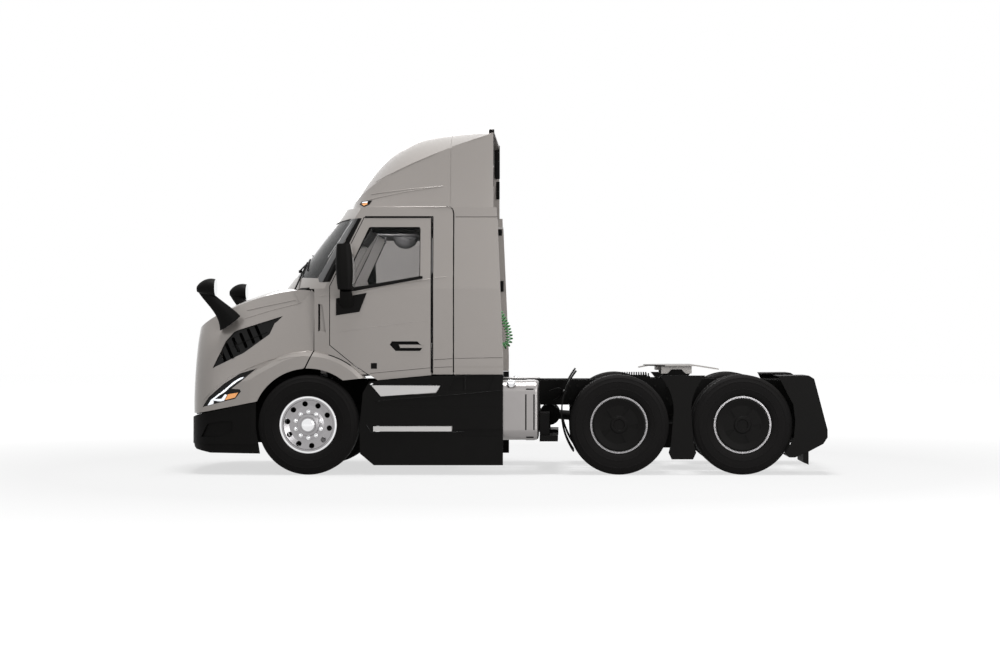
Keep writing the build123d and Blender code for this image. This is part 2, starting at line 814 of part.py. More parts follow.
# straight run of the fender's brow from the wheel arch down to the bumper's corner
BROW = ((2583, 1116), (2866, 936), (3090, 770), (3230, 640))
BROW_LEAVES = radians(68)
BrowRow = namedtuple("BrowRow", "y drop")
BROW_ROWS = (BrowRow(1130, 0), BrowRow(1176, 18), BrowRow(FLARE_Y, 58))


def brow_outline(drop):
    """Side outline of the brow, for a line builder, lowered by a drop."""
    radius = FLARE_RADIUS - drop
    around = [
        (FRONT_AXLE_X + radius * cos(angle), AXLE_Z + radius * sin(angle))
        for angle in (radians(180), radians(124), BROW_LEAVES)
    ]
    arch = ThreePointArc(*around)
    lowered = [(x - drop / 2, z - drop) for x, z in BROW]
    Polyline(arch @ 1, *lowered, (2700, 500), arch @ 0)


def fender(inset):
    """Left fender: a round brow over the wheel that runs forward and down to the bumper."""
    with BuildPart() as brow:
        with BuildSketch(Plane.XZ.offset(-(800 - 2 * inset))):
            with BuildLine():
                brow_outline(inset)
            make_face()
        extrude(amount=-(BROW_ROWS[0].y - 800 + inset))
    with BuildPart() as edge:
        for row in BROW_ROWS:
            with BuildSketch(Plane.XZ.offset(-(row.y - inset))):
                with BuildLine():
                    brow_outline(row.drop + inset)
                make_face()
        loft(ruled=True)
    return common(joined(brow.part, edge.part), bumper_volume(inset - 12, 800, 300, 1500))


hood_keep = side_slab(
    [(HOOD_REAR_X, 1292), (HOOD_REAR_X, 2200), (3450, 2200), (3450, 622), (3228, 640), (2560, 772),
     (2400, 900), (2081, 1124)],
    -1300, 1300,
)
arch_cut = cross_bar(FRONT_AXLE_X, AXLE_Z, ARCH_RADIUS, -1300, 1300)
fender_outer, fender_inner = fender(0), fender(HOOD_SKIN)
hood_outer = joined(hood_body(0), fender_outer, right_hand(fender_outer))
hood_inner = joined(hood_body(HOOD_SKIN), fender_inner, right_hand(fender_inner))
COWL_HALF, COWL_ARC_HALF = 967.0, 1150.0


def bowed_room(half, nose_x, z_low, z_high):
    """Room in front of the cab with a bowed front, cut off at a half-width."""
    with BuildPart() as room:
        with BuildSketch(Plane.XY.offset(z_low)):
            with BuildLine():
                bow = ThreePointArc(
                    (HOOD_REAR_X, COWL_ARC_HALF), (nose_x, 0), (HOOD_REAR_X, -COWL_ARC_HALF)
                )
                Line(bow @ 0, bow @ 1)
            make_face()
        extrude(amount=z_high - z_low)
    return common(room.part, block(1500, 3000, -half, half, z_low, z_high))


cowl_cut = joined(
    bowed_room(COWL_HALF + GAP, 2446, 1500, 2200),
    side_slab(
        [(1900, 1905), (HOOD_REAR_X, 1905), (2050, 1960), (2050, 2200), (1900, 2200)], -1300, 1300
    ),
)

VENT = [
    (3082, 1113), (2950, 1400), (2864, 1495), (2818, 1517), (2337, 1665), (2391, 1611),
    (2423, 1588), (2476, 1471), (2747, 1276),
]
GRILLE_HALF, GRILLE_BOTTOM, GRILLE_TOP = 560.0, 660.0, 1540.0
vent_cut = side_slab(VENT, 600, 1300)
with BuildPart() as grille_zone:
    with BuildSketch(Plane.YZ.offset(3000)):
        with BuildLine():
            Polyline(
                (-GRILLE_HALF, GRILLE_TOP), (GRILLE_HALF, GRILLE_TOP), (430, GRILLE_BOTTOM),
                (-430, GRILLE_BOTTOM), close=True,
            )
        make_face()
    extrude(amount=500)
HEADLAMP = [
    (3190, 700), (3120, 805), (2960, 945), (2780, 1060), (2590, 1115), (2735, 985), (2850, 900),
    (2761, 895), (2747, 872), (2810, 796), (2938, 765),
]
lamp_zone = side_slab(HEADLAMP, 700, 1300)
hood = without(
    common(hood_outer, hood_keep),
    hood_inner,
    arch_cut,
    cowl_cut,
    vent_cut,
    right_hand(vent_cut),
    grille_zone.part,
    lamp_zone,
    right_hand(lamp_zone),
)
save(hood, "hood")


cab_flare_zone = side_slab(
    [(1396, 1050), (1563, 1134), (DOOR_FRONT_X - 8, 1340), (DOOR_FRONT_X - 8, 1360),
     (CAB_FRONT_X, 1360), (CAB_FRONT_X, 1290), (2068, 1118), (2068, 1000), (1682, 988), (1438, 1014)],
    1100, 1300,
)
cab_flare = without(common(fender_outer, cab_flare_zone), fender_inner, arch_cut, cab_front)
save(both_sides(joined(cab_side, without(cab_flare, cab_side))), "cab_sides")


def skin_layer(depth, thickness, *zones):
    """A layer of the hood's own surface, sunk to a depth, inside some zones."""
    outer = joined(hood_body(depth), fender(depth))
    inner = joined(hood_body(depth + thickness), fender(depth + thickness))
    return without(common(outer, *zones), inner)


def slots(outline_centres, length, height, slant, plane):
    """Row of slanted slots that pierce a grille layer."""
    with BuildPart() as cut:
        with BuildSketch(plane):
            with Locations(*outline_centres):
                SlotOverall(length, height, rotation=slant)
        extrude(amount=900)
    return cut.part


GRILLE_SLOT_Z = range(710, 1520, 62)
GRILLE_SLOT_Y = (-300, -100, 100, 300)
grille_slots = slots(
    [(y * (0.86 + 0.14 * (z - 700) / 800), z) for z in GRILLE_SLOT_Z for y in GRILLE_SLOT_Y],
    184, 34, 0, Plane(origin=(2900, 0, 0), x_dir=(0, 1, 0), z_dir=(1, 0, 0)),
)
VENT_SLOTS = [(2600, 1495), (2680, 1452), (2760, 1406), (2840, 1358), (2912, 1300), (2968, 1228)]
vent_slots = slots(
    [(x, z) for x, z in VENT_SLOTS], 178, 34, 64,
    Plane(origin=(0, 700, 0), x_dir=(1, 0, 0), z_dir=(0, -1, 0)).offset(-560),
)
front_grille = without(skin_layer(10, 16, grille_zone.part), grille_slots)
side_vent = without(skin_layer(10, 16, vent_cut), vent_slots)
save(joined(front_grille, side_vent, right_hand(side_vent)), "grille")
headlamp = without(skin_layer(3, 20, lamp_zone), arch_cut)
save(both_sides(headlamp), "headlamps")


ArmRow = namedtuple("ArmRow", "x y z long wide")
HOOD_MIRROR_ARM = (
    ArmRow(2905, 900, 1590, 132, 66),
    ArmRow(2960, 955, 1700, 92, 48),
    ArmRow(3070, 1020, 1825, 64, 36),
    ArmRow(3165, 1062, 1935, 52, 32),
)
DomeRow = namedtuple("DomeRow", "x z high wide")
HOOD_MIRROR_HEAD = (
    DomeRow(3026, 1962, 88, 104),
    DomeRow(3110, 1970, 84, 100),
    DomeRow(3180, 1960, 62, 76),
    DomeRow(3222, 1948, 30, 40),
)


def hood_mirror():
    """Left hood mirror: flared foot on the hood, a raked arm and a domed head."""
    with BuildPart() as arm:
        for row in HOOD_MIRROR_ARM:
            with BuildSketch(Plane(origin=(row.x, row.y, row.z), z_dir=(0.55, 0.3, 0.78))):
                Ellipse(row.long, row.wide)
        loft()
    with BuildPart() as head:
        for row in HOOD_MIRROR_HEAD:
            with BuildSketch(Plane.YZ.offset(row.x)):
                with Locations((1085, row.z)):
                    Ellipse(row.wide, row.high)
        loft()
    return joined(arm.part, head.part)


save(both_sides(without(hood_mirror(), hood_outer)), "hood_mirrors")


# ---------------------------------------------------------------- cowl, bumper
with BuildPart() as cowl:
    add(bowed_room(COWL_HALF, 2434, 1850, 1965))
    chamfer(cowl.faces().sort_by(Axis.Z)[-1].edges().filter_by(GeomType.CIRCLE), 60)
save(without(cowl.part, cab_front), "cowl")

bumper_side = side_slab(
    [(3500, 588), (3330, 588), (3228, 626), (2592, 757), (2592, 480), (2550, 222), (3080, 228),
     (3250, 262), (3340, 330), (3500, 380)],
    -1300, 1300,
)


fog_recess = common(
    side_slab(
        [(3187, 392), (3114, 529), (2956, 560), (2841, 555), (2841, 455), (2977, 392)], 500, 1300
    ),
    without(bumper_volume(-5, 2400, 200, 820), bumper_volume(17, 2400, 200, 820)),
)
chin = common(
    side_slab([(2540, 318), (3420, 318), (3420, 200), (2540, 200)], -1300, 1300),
    without(bumper_volume(-5, 2400, 200, 820), bumper_volume(9, 2400, 200, 820)),
)
bumper = without(
    common(bumper_volume(0, 2500, 200, 820), bumper_side),
    bumper_volume(BUMPER_SKIN, 2400, 200, 820),
    chin,
    fog_recess,
    right_hand(fog_recess),
)
bumper_arm = block(3080, 3362, 345, 430, 400, 560)
bumper_drop = block(2980, 3080, 345, 430, 400, 710)
bumper_mounts = both_sides(joined(bumper_arm, bumper_drop))
save(joined(without(bumper, bumper_mounts), bumper_mounts), "bumper")


# ---------------------------------------------------------------- roof fairing and side extenders
FairRow = namedtuple("FairRow", "x half_base half_edge edge_z top_z")
FAIR_ROWS = (
    FairRow(1712, 300, 260, 2822, 2846),
    FairRow(1600, 790, 640, 2880, 2975),
    FairRow(1470, 990, 850, 2990, 3190),
    FairRow(1250, 1070, 960, 3135, 3446),
    FairRow(850, 1092, 1000, 3325, 3650),
    FairRow(450, 1094, 1015, 3478, 3714),
    FairRow(270, 1094, 1018, 3540, 3736),
    FairRow(110, 1092, 1020, 3590, 3747),
)


def fairing_body(inset, back_x, base_z):
    """Roof fairing volume: cross-sections that grow from a low nose to a tall back."""
    with BuildPart() as body:
        for row in FAIR_ROWS:
            nose = row == FAIR_ROWS[0]
            tail = row == FAIR_ROWS[-1]
            x = back_x if tail else row.x - (inset if nose else 0)
            base, edge = row.half_base - inset, row.half_edge - inset
            edge_z, top_z = row.edge_z - inset * 0.5, row.top_z - inset * 0.6
            with BuildSketch(Plane.YZ.offset(x)):
                with BuildLine():
                    crown = ThreePointArc((-edge, edge_z), (0, top_z), (edge, edge_z))
                    Polyline(crown @ 1, (base, base_z), (-base, base_z), crown @ 0)
                make_face()
        loft()
    return body.part


FAIRING_SKIN = 24.0
above_roof = block(-500, 2500, -1300, 1300, ROOF_Z, 4000)
fairing_raw = without(
    common(fairing_body(0, 110, ROOF_Z - 47), above_roof),
    fairing_body(FAIRING_SKIN, 90, ROOF_Z - 67),
)
rear_trim = side_slab([(-200, 2600), (68, 2600), (114, 3780), (-200, 3780)], -1300, 1300)
with BuildPart() as bowed_trim:
    with BuildSketch(Plane.XY.offset(3300)):
        with BuildLine():
            bow = ThreePointArc((60, 1300), (148, 0), (60, -1300))
            Line(bow @ 0, bow @ 1)
        make_face()
    extrude(amount=600)
seam_cut = common(
    side_slab([(555, ROOF_Z + 20), (563, ROOF_Z + 20), (563, 3900), (555, 3900)], -1300, 1300),
    without(fairing_body(-4, 110, ROOF_Z - 30), fairing_body(6, 110, ROOF_Z - 50)),
)
lower_sides = both_sides(
    side_slab(
        [(CAB_BACK_X, HEADER_Z), (CAB_BACK_X, ROOF_Z), (60, ROOF_Z), (60, HEADER_Z)], 1068, 1092
    )
)
save(
    without(joined(fairing_raw, lower_sides), rear_trim, bowed_trim.part, seam_cut), "roof_fairing"
)


STRUTS = ((1300, 1128), (1700, 1128), (2100, 1114), (2500, 1084))


def side_extender():
    """Left panel behind the cab, with the body sill below it."""
    with BuildPart() as panel:
        with BuildSketch(Plane.YZ.offset(EXTENDER_REAR_X)):
            with BuildLine():
                Polyline(
                    (1152, SILL_Z), (1152, BELT_Z - 40), (1096, HEADER_Z - 3), (1072, HEADER_Z - 3),
                    (1128, BELT_Z - 40), (1128, SILL_Z), close=True,
                )
            make_face()
        extrude(amount=CAB_BACK_X - 12 - EXTENDER_REAR_X)
    keep = side_slab(
        [(EXTENDER_REAR_X, SILL_Z), (CAB_BACK_X - 12, SILL_Z), (CAB_BACK_X - 12, 2750), (68, 2750),
         (EXTENDER_REAR_X, 1239)],
        1000, 1300,
    )
    grooves = joined(
        block(-50, 600, 1146, 1300, 1216, 1224),
        block(-50, 600, 1146, 1300, 1124, 1132),
    )
    struts = joined(
        *[block(CAB_BACK_X - 60, CAB_BACK_X, 1040, y_high, z, z + 60) for z, y_high in STRUTS]
    )
    return joined(without(common(panel.part, keep), grooves), struts)


save(both_sides(side_extender(), cab_back.part), "side_extenders")


# ---------------------------------------------------------------- skirts, steps and tanks
SKIRT_OUTLINE = [
    (1505, 500), (1470, 860), (1400, SILL_Z - 72), (1398, 975), (746, SILL_Z - 14),
    (EXTENDER_REAR_X, SILL_Z - 4), (EXTENDER_REAR_X, SKIRT_BOTTOM), (1355, SKIRT_BOTTOM), (1500, 223),
]
UPPER_STEP = [(1392, 942), (649, 938), (704, 856), (1285, 816)]
upper_step_zone = side_slab(UPPER_STEP, 1000, 1300)
lower_step_zone = block(533, 1368, 1150, 1300, 452, 512)


# pressed panels of the skirt: outline and depth
SKIRT_RECESSES = (
    ([(575, 885), (520, 1006), (412, 1018), (412, 878)], 9),
    ([(385, 1030), (93, 1038), (150, 884), (385, 876)], 9),
    ([(1355, 770), (1300, 720), (EXTENDER_REAR_X - 5, 700), (EXTENDER_REAR_X - 5, 880), (600, 820)], 5),
    ([(500, 472), (EXTENDER_REAR_X - 5, 478), (EXTENDER_REAR_X - 5, 402), (430, 398)], 8),
)


def skirt():
    """Left chassis skirt: a skin with a returned front edge and two step pockets."""
    skin = side_slab(SKIRT_OUTLINE, SKIRT_Y - SKIRT_SKIN, SKIRT_Y)
    pocket = side_slab(
        [(1400, 950), (641, 946), (698, 848), (1291, 808)], 1060, SKIRT_Y - SKIRT_SKIN
    )
    hangers = joined(
        *[block(x, x + 50, RAIL_OUTER_Y, SKIRT_Y - SKIRT_SKIN, 990, 1030) for x in (60, 480)]
    )
    recesses = joined(
        *[side_slab(outline, SKIRT_Y - depth, SKIRT_Y + 5) for outline, depth in SKIRT_RECESSES]
    )
    cover = without(joined(skin, pocket), upper_step_zone, lower_step_zone, recesses)
    return joined(cover, hangers)


def step(zone, y_low, y_high):
    """Tread with a rolled nose, filling its pocket."""
    return common(zone, block(0, 2000, y_low, y_high, 0, 1300))


skirt_left = skirt()
steps_left = joined(
    step(side_slab([(1380, 936), (660, 932), (708, 862), (1283, 822)], 1000, 1300), 1075, 1192),
    block(541, 1360, 1150, 1214, 456, 508),
)
save(both_sides(without(skirt_left, steps_left)), "skirts")
save(both_sides(steps_left), "steps")

TANK_REAR, TANK_FRONT = -366.0, 940.0
TANK_MID = (846.0, 671.5)
TANK_WIDTH, TANK_HEIGHT, TANK_CORNER = 652.0, 623.0, 110.0
STRAPS = ((-326, 91), (640, 91))


def fuel_tank():
    """Left tank: rounded-rectangle section, domed ends, two straps and a filler neck."""
    with BuildPart() as tank:
        with BuildSketch(Plane.YZ.offset(TANK_REAR)):
            with Locations(TANK_MID):
                RectangleRounded(TANK_WIDTH, TANK_HEIGHT, TANK_CORNER)
        extrude(amount=TANK_FRONT - TANK_REAR)
        fillet(tank.faces().filter_by(Axis.X).edges(), 30)
        for strap_x, strap_width in STRAPS:
            with BuildSketch(Plane.YZ.offset(strap_x)):
                with Locations(TANK_MID):
                    RectangleRounded(TANK_WIDTH + 8, TANK_HEIGHT + 8, TANK_CORNER + 4)
            extrude(amount=strap_width)
    with BuildPart() as neck:
        with BuildSketch(Plane(origin=(-80, 1130, 925), z_dir=(0, 0.6, 0.8))):
            Circle(44)
        extrude(amount=34)
    return joined(tank.part, neck.part)


tank_brackets = joined(
    *[side_slab([(x, 420), (x + 60, 420), (x + 60, 960), (x, 960)], RAIL_OUTER_Y, 560) for x in (-310, 700)]
)
tank = fuel_tank()
save(both_sides(joined(tank, without(tank_brackets, tank)), skirt_left, steps_left), "fuel_tanks")


# ---------------------------------------------------------------- rear wheel guards
def quarter_fender():
    """Left guard ahead of the first drive axle: a bowed sheet on a tube from the frame."""
    with BuildPart() as sheet:
        with BuildSketch(Plane.XZ.offset(-590)):
            with BuildLine():
                outer = ThreePointArc((-755, 1087), (-603, 679), (-729, 242))
                inner = ThreePointArc((-769, 1083), (-617, 679), (-742, 248))
                Line(outer @ 0, inner @ 0)
                Line(outer @ 1, inner @ 1)
            make_face()
        extrude(amount=-625)
    return joined(sheet.part, without(cross_bar(-640, 860, 20, RAIL_OUTER_Y, 1190), sheet.part))


save(both_sides(quarter_fender()), "quarter_fenders")


def centre_fairing():
    """Left panel between the drive wheels, narrow at the axle line, on a tube from the frame."""
    mid = TANDEM_X - 17
    with BuildPart() as panel:
        with BuildSketch(Plane.XZ.offset(-1172)):
            with BuildLine():
                left = ThreePointArc((mid + 240, 1040), (mid + 122, 850), (mid + 92, 640))
                right = ThreePointArc((mid - 240, 1040), (mid - 122, 850), (mid - 92, 640))
                Line(left @ 0, right @ 0)
                Polyline(left @ 1, (mid + 118, 330), (mid + 144, 232), (mid + 112, 162), (mid - 112, 162),
                         (mid - 144, 232), (mid - 118, 330), right @ 1)
            make_face()
        extrude(amount=-26)
    return joined(panel.part, cross_bar(mid, 900, 24, RAIL_OUTER_Y, 1172))


save(both_sides(centre_fairing()), "center_fairings")

REAR_FENDER = [
    (-2875, 1036), (-3196, 1039), (-3250, 1005), (REAR_END, 473), (REAR_END, 393), (-3345, 325),
    (-3173, 234), (-3048, 183), (-2991, 183), (-2950, 225), (-3040, 400), (-3052, 575), (-3030, 744),
    (-2996, 801),
]


def rear_fender():
    """Left guard behind the last axle: side panel with a wrapped top and back."""
    whole = side_slab(REAR_FENDER, 600, 1215)
    with BuildPart() as hollow:
        with BuildSketch(Plane.XZ.offset(-590)):
            with BuildLine():
                Polyline(
                    (-2700, 1022), (-3190, 1025), (-3238, 998), (REAR_END + 14, 470), (REAR_END + 14, 400),
                    (-3335, 338), (-3168, 250), (-3044, 199), (-2700, 199), close=True,
                )
            make_face()
        extrude(amount=-(1201 - 590))
    bracket = cross_bar(-3120, 1006, 16, RAIL_OUTER_Y, 1201)
    post = block(-3140, -3100, RAIL_OUTER_Y, RAIL_OUTER_Y + 30, 940, 1006)
    flap = side_slab([(-3130, 330), (-3193, 330), (-3193, 107), (-3138, 130)], 640, 1201)
    return joined(without(whole, hollow.part), without(flap, hollow.part), bracket, post)


save(both_sides(rear_fender()), "rear_fenders")


# ---------------------------------------------------------------- fifth wheel
FIFTH_FRONT, FIFTH_REAR = TANDEM_X + 350, TANDEM_X - 460
NOSE_TIP_X, RAMP_DROP = TANDEM_X + 401, 42.0


def fifth_base():
    """Left mounting rail, slider plate with lightening slots, and a pivot ear."""
    with BuildPart() as rail:
        with BuildSketch(Plane.XY.offset(RAIL_TOP)):
            with Locations(((TANDEM_X + 60), 390)):
                Rectangle(1100, 80)
        extrude(amount=14)
    ear = side_slab(
        [(TANDEM_X - 150, RAIL_TOP + 14), (TANDEM_X + 150, RAIL_TOP + 14),
         (TANDEM_X + 52, FIFTH_PIVOT_Z + 30), (TANDEM_X - 52, FIFTH_PIVOT_Z + 30)],
        368, 398,
    )
    pin = cross_bar(TANDEM_X, FIFTH_PIVOT_Z, 19.9, 318, 368)
    return joined(rail.part, ear, pin)


# toothed slide rail on top of each frame rail, ahead of the pivot
TOOTH_X = range(int(TANDEM_X) + 300, int(TANDEM_X) + 586, 26)
slide_rail = joined(
    block(TANDEM_X + 290, TANDEM_X + 590, 372, 408, RAIL_TOP + 14, RAIL_TOP + 40),
    *[block(tooth_x, tooth_x + 13, 372, 408, RAIL_TOP + 40, RAIL_TOP + 72) for tooth_x in TOOTH_X],
)
bed = block(TANDEM_X - 330, TANDEM_X + 590, 300, 350, RAIL_TOP, RAIL_TOP + 14)
save(both_sides(joined(fifth_base(), bed, slide_rail)), "fifth_wheel_base")

with BuildPart() as plate:
    with BuildSketch(Plane.XY.offset(FIFTH_TOP - 14)):
        with BuildLine():
            nose = ThreePointArc(
                (TANDEM_X + 130, FIFTH_HALF_WIDTH), (FIFTH_FRONT, 0), (TANDEM_X + 130, -FIFTH_HALF_WIDTH)
            )
            Polyline(
                nose @ 1, (TANDEM_X - 190, -FIFTH_HALF_WIDTH), (TANDEM_X - 190, FIFTH_HALF_WIDTH),
                nose @ 0,
            )
        make_face()
    extrude(amount=14)
    with BuildSketch(Plane.XY.offset(FIFTH_PIVOT_Z - 16)):
        for side in (-1, 1):
            with Locations((TANDEM_X, side * 322)):
                Rectangle(330, 60)
    extrude(amount=FIFTH_TOP - 14 - FIFTH_PIVOT_Z + 16)
    with BuildSketch(Plane.XY.offset(FIFTH_TOP - 60)):
        with Locations((TANDEM_X + 40, 0)):
            Rectangle(360, 330)
    extrude(amount=46)
nose_lip = side_slab(
    [(FIFTH_FRONT - 60, FIFTH_TOP), (NOSE_TIP_X, FIFTH_TOP - 24), (NOSE_TIP_X, FIFTH_TOP - 36),
     (FIFTH_FRONT - 60, FIFTH_TOP - 14)],
    -150, 150,
)
ramps = both_sides(
    side_slab(
        [(TANDEM_X - 190, FIFTH_TOP), (FIFTH_REAR, FIFTH_TOP - RAMP_DROP),
         (FIFTH_REAR, FIFTH_TOP - RAMP_DROP - 14), (TANDEM_X - 190, FIFTH_TOP - 14)],
        110, 338,
    )
)
with BuildPart() as throat:
    with BuildSketch(Plane.XY.offset(FIFTH_TOP - 200)):
        with BuildLine():
            Polyline(
                (TANDEM_X - 140, -60), (TANDEM_X - 140, 60), (TANDEM_X - 600, 190), (TANDEM_X - 600, -190),
                close=True,
            )
        make_face()
        with Locations((TANDEM_X, 0)):
            Circle(KINGPIN_LOCK_R)
    extrude(amount=300)
pin_bores = both_sides(cross_bar(TANDEM_X, FIFTH_PIVOT_Z, 20.0, 280, 360))
save(without(joined(plate.part, nose_lip, ramps), throat.part, pin_bores), "fifth_wheel_plate")


# ---------------------------------------------------------------- air tanks, lamps, interior
air_tanks = both_sides(
    joined(cross_bar(-480, 600, 110, 60, 400), block(-500, -460, 180, 260, 700, RAIL_TOP - 100))
)
with BuildPart() as access_step:
    add(block(-480, -378, RAIL_OUTER_Y, 1000, 410, 640))
    add(block(-570, -378, RAIL_OUTER_Y, 1100, 345, 405))
save(joined(air_tanks, both_sides(access_step.part)), "air_tanks")

save(both_sides(block(RAIL_REAR_X - 60, RAIL_REAR_X - 12, 150, 400, 800, 890)), "lamps")

dash = side_slab(
    [(1923, 1090), (1923, 1900), (1700, 1930), (1560, 1840), (1600, 1650), (1760, 1500),
     (1800, 1090)],
    -1020, 1020,
)
with BuildPart() as steering_wheel:
    wheel_plane = Plane(origin=(1430, 480, 1800), x_dir=(0, 1, 0), z_dir=(-0.55, 0, 0.83))
    with BuildSketch(wheel_plane):
        Circle(228)
        Circle(200, mode=Mode.SUBTRACT)
        Rectangle(420, 46)
        Circle(72)
    extrude(amount=24)
    with BuildSketch(wheel_plane):
        Circle(34)
    extrude(amount=-260)
save(joined(without(dash, cab_front), steering_wheel.part), "dashboard")


def seat(y):
    """Cab seat on a pedestal: cushion, backrest and headrest in one form."""
    return joined(
        block(900, 1260, y - 190, y + 190, 1090, 1400),
        side_slab(
            [(780, 1400), (1310, 1400), (1330, 1530), (1290, 1560), (900, 1540), (780, 1500)],
            y - 250, y + 250,
        ),
        side_slab(
            [(700, 1500), (900, 1500), (790, 2180), (690, 2200), (640, 2150)], y - 240, y + 240
        ),
        side_slab([(655, 2190), (775, 2180), (740, 2380), (640, 2380)], y - 140, y + 140),
    )


save(both_sides(seat(480)), "seats")


# ---------------------------------------------------------------- cab-to-trailer electric line
LINE_Y = 120.0
COIL_DIAMETER = 85.0
SOCKET_FRONT_X = CAB_BACK_X - 62
COIL_ROUTE = (
    (SOCKET_FRONT_X, 1905), (345, 1905), (210, 1855), (90, 1745), (5, 1595), (-40, 1455),
    (-28, 1365), (50, 1335), (155, 1402), (265, 1500), (375, 1602), (SOCKET_FRONT_X, 1602),
)
with BuildPart() as line_bracket:
    add(block(CAB_BACK_X - 12, CAB_BACK_X, LINE_Y - 90, LINE_Y + 90, 1530, 1980))
    for socket_z in (COIL_ROUTE[0][1], COIL_ROUTE[-1][1]):
        with BuildSketch(Plane.YZ.offset(SOCKET_FRONT_X)):
            with Locations((LINE_Y, socket_z)):
                Circle(36)
        extrude(amount=CAB_BACK_X - 12 - SOCKET_FRONT_X)
save(line_bracket.part, "line_bracket")


def bend_radii(route, share):
    """Fillet radius at each inner point, as a share of what its two runs allow."""
    radii = []
    for before, here, after in zip(route, route[1:], route[2:]):
        run_in, run_out = Vector(here) - Vector(before), Vector(after) - Vector(here)
        turn = radians(run_in.get_angle(run_out))
        radii.append(share * min(run_in.length, run_out.length) / tan(turn / 2))
    return radii


route_points = [(x, LINE_Y, z) for x, z in COIL_ROUTE]
with BuildPart() as coil_cord:
    with BuildLine() as route_line:
        FilletPolyline(*route_points, radius=bend_radii(route_points, 0.45))
    with BuildSketch(Plane(origin=route_line.line @ 0, z_dir=route_line.line % 0)):
        Circle(COIL_DIAMETER / 2)
    sweep()
save(coil_cord.part, "coil_cord")
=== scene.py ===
"""Dresses the day-cab road tractor: finishes, tyres, lamps, glass, fittings, curly line and studio.

Every piece is built in metres in the row frame: +X forward, +Y to the driver's left, +Z up. Each
finish is a procedural material, each sub-assembly is a class that models its own pieces, and
main() builds them in order.
"""

import logging
import math
from collections.abc import Callable, Iterable, Sequence
from dataclasses import dataclass
from enum import Enum

import bpy
from mathutils import Matrix, Vector


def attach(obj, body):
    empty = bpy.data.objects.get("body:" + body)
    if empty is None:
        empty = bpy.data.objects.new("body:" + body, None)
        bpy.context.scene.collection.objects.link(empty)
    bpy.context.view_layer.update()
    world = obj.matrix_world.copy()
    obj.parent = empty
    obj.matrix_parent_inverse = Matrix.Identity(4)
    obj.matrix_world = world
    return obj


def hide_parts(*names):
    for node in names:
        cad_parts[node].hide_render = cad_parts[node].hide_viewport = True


LOG = logging.getLogger("tractor")
Point = tuple[float, float, float]
Flat = tuple[float, float]
Colour = tuple[float, float, float]

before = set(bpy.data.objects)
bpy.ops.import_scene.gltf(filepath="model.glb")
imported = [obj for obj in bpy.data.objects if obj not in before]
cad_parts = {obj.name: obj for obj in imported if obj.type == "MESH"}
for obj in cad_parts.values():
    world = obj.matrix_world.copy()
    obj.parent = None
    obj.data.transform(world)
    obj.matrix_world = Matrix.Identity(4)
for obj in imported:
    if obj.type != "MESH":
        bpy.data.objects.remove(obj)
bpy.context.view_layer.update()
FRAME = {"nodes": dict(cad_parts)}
SIDES = {"left": 1.0, "right": -1.0}
ACROSS: Point = (0.0, 1.0, 0.0)


# ---------------------------------------------------------------- shader arithmetic
class Link:
    """A shader socket that takes part in Python arithmetic, each operation adding its Math node."""

    def __init__(self, shader: "Shader", socket: bpy.types.NodeSocket) -> None:
        """Wraps a socket.

        Args:
            shader: the material being written.
            socket: the output to wrap.
        """
        self.shader = shader
        self.socket = socket

    def _math(self, operation: str, *values: "Link | float") -> "Link":
        """Adds a Math node on some values."""
        return self.shader.add(
            "ShaderNodeMath", {"operation": operation}, dict(enumerate(values))
        )

    def __add__(self, other: "Link | float") -> "Link":
        """self + other."""
        return self._math("ADD", self, other)

    __radd__ = __add__

    def __sub__(self, other: "Link | float") -> "Link":
        """self - other."""
        return self._math("SUBTRACT", self, other)

    def __rsub__(self, other: "Link | float") -> "Link":
        """other - self."""
        return self._math("SUBTRACT", other, self)

    def __mul__(self, other: "Link | float") -> "Link":
        """self * other."""
        return self._math("MULTIPLY", self, other)

    __rmul__ = __mul__

    def power(self, exponent: float) -> "Link":
        """self to a power."""
        return self._math("POWER", self, exponent)

    def sine(self) -> "Link":
        """The sine of self, in radians."""
        return self._math("SINE", self)

    def clamped(self) -> "Link":
        """self held between 0 and 1."""
        return self.shader.add("ShaderNodeClamp", {}, {"Value": self}, "Result")


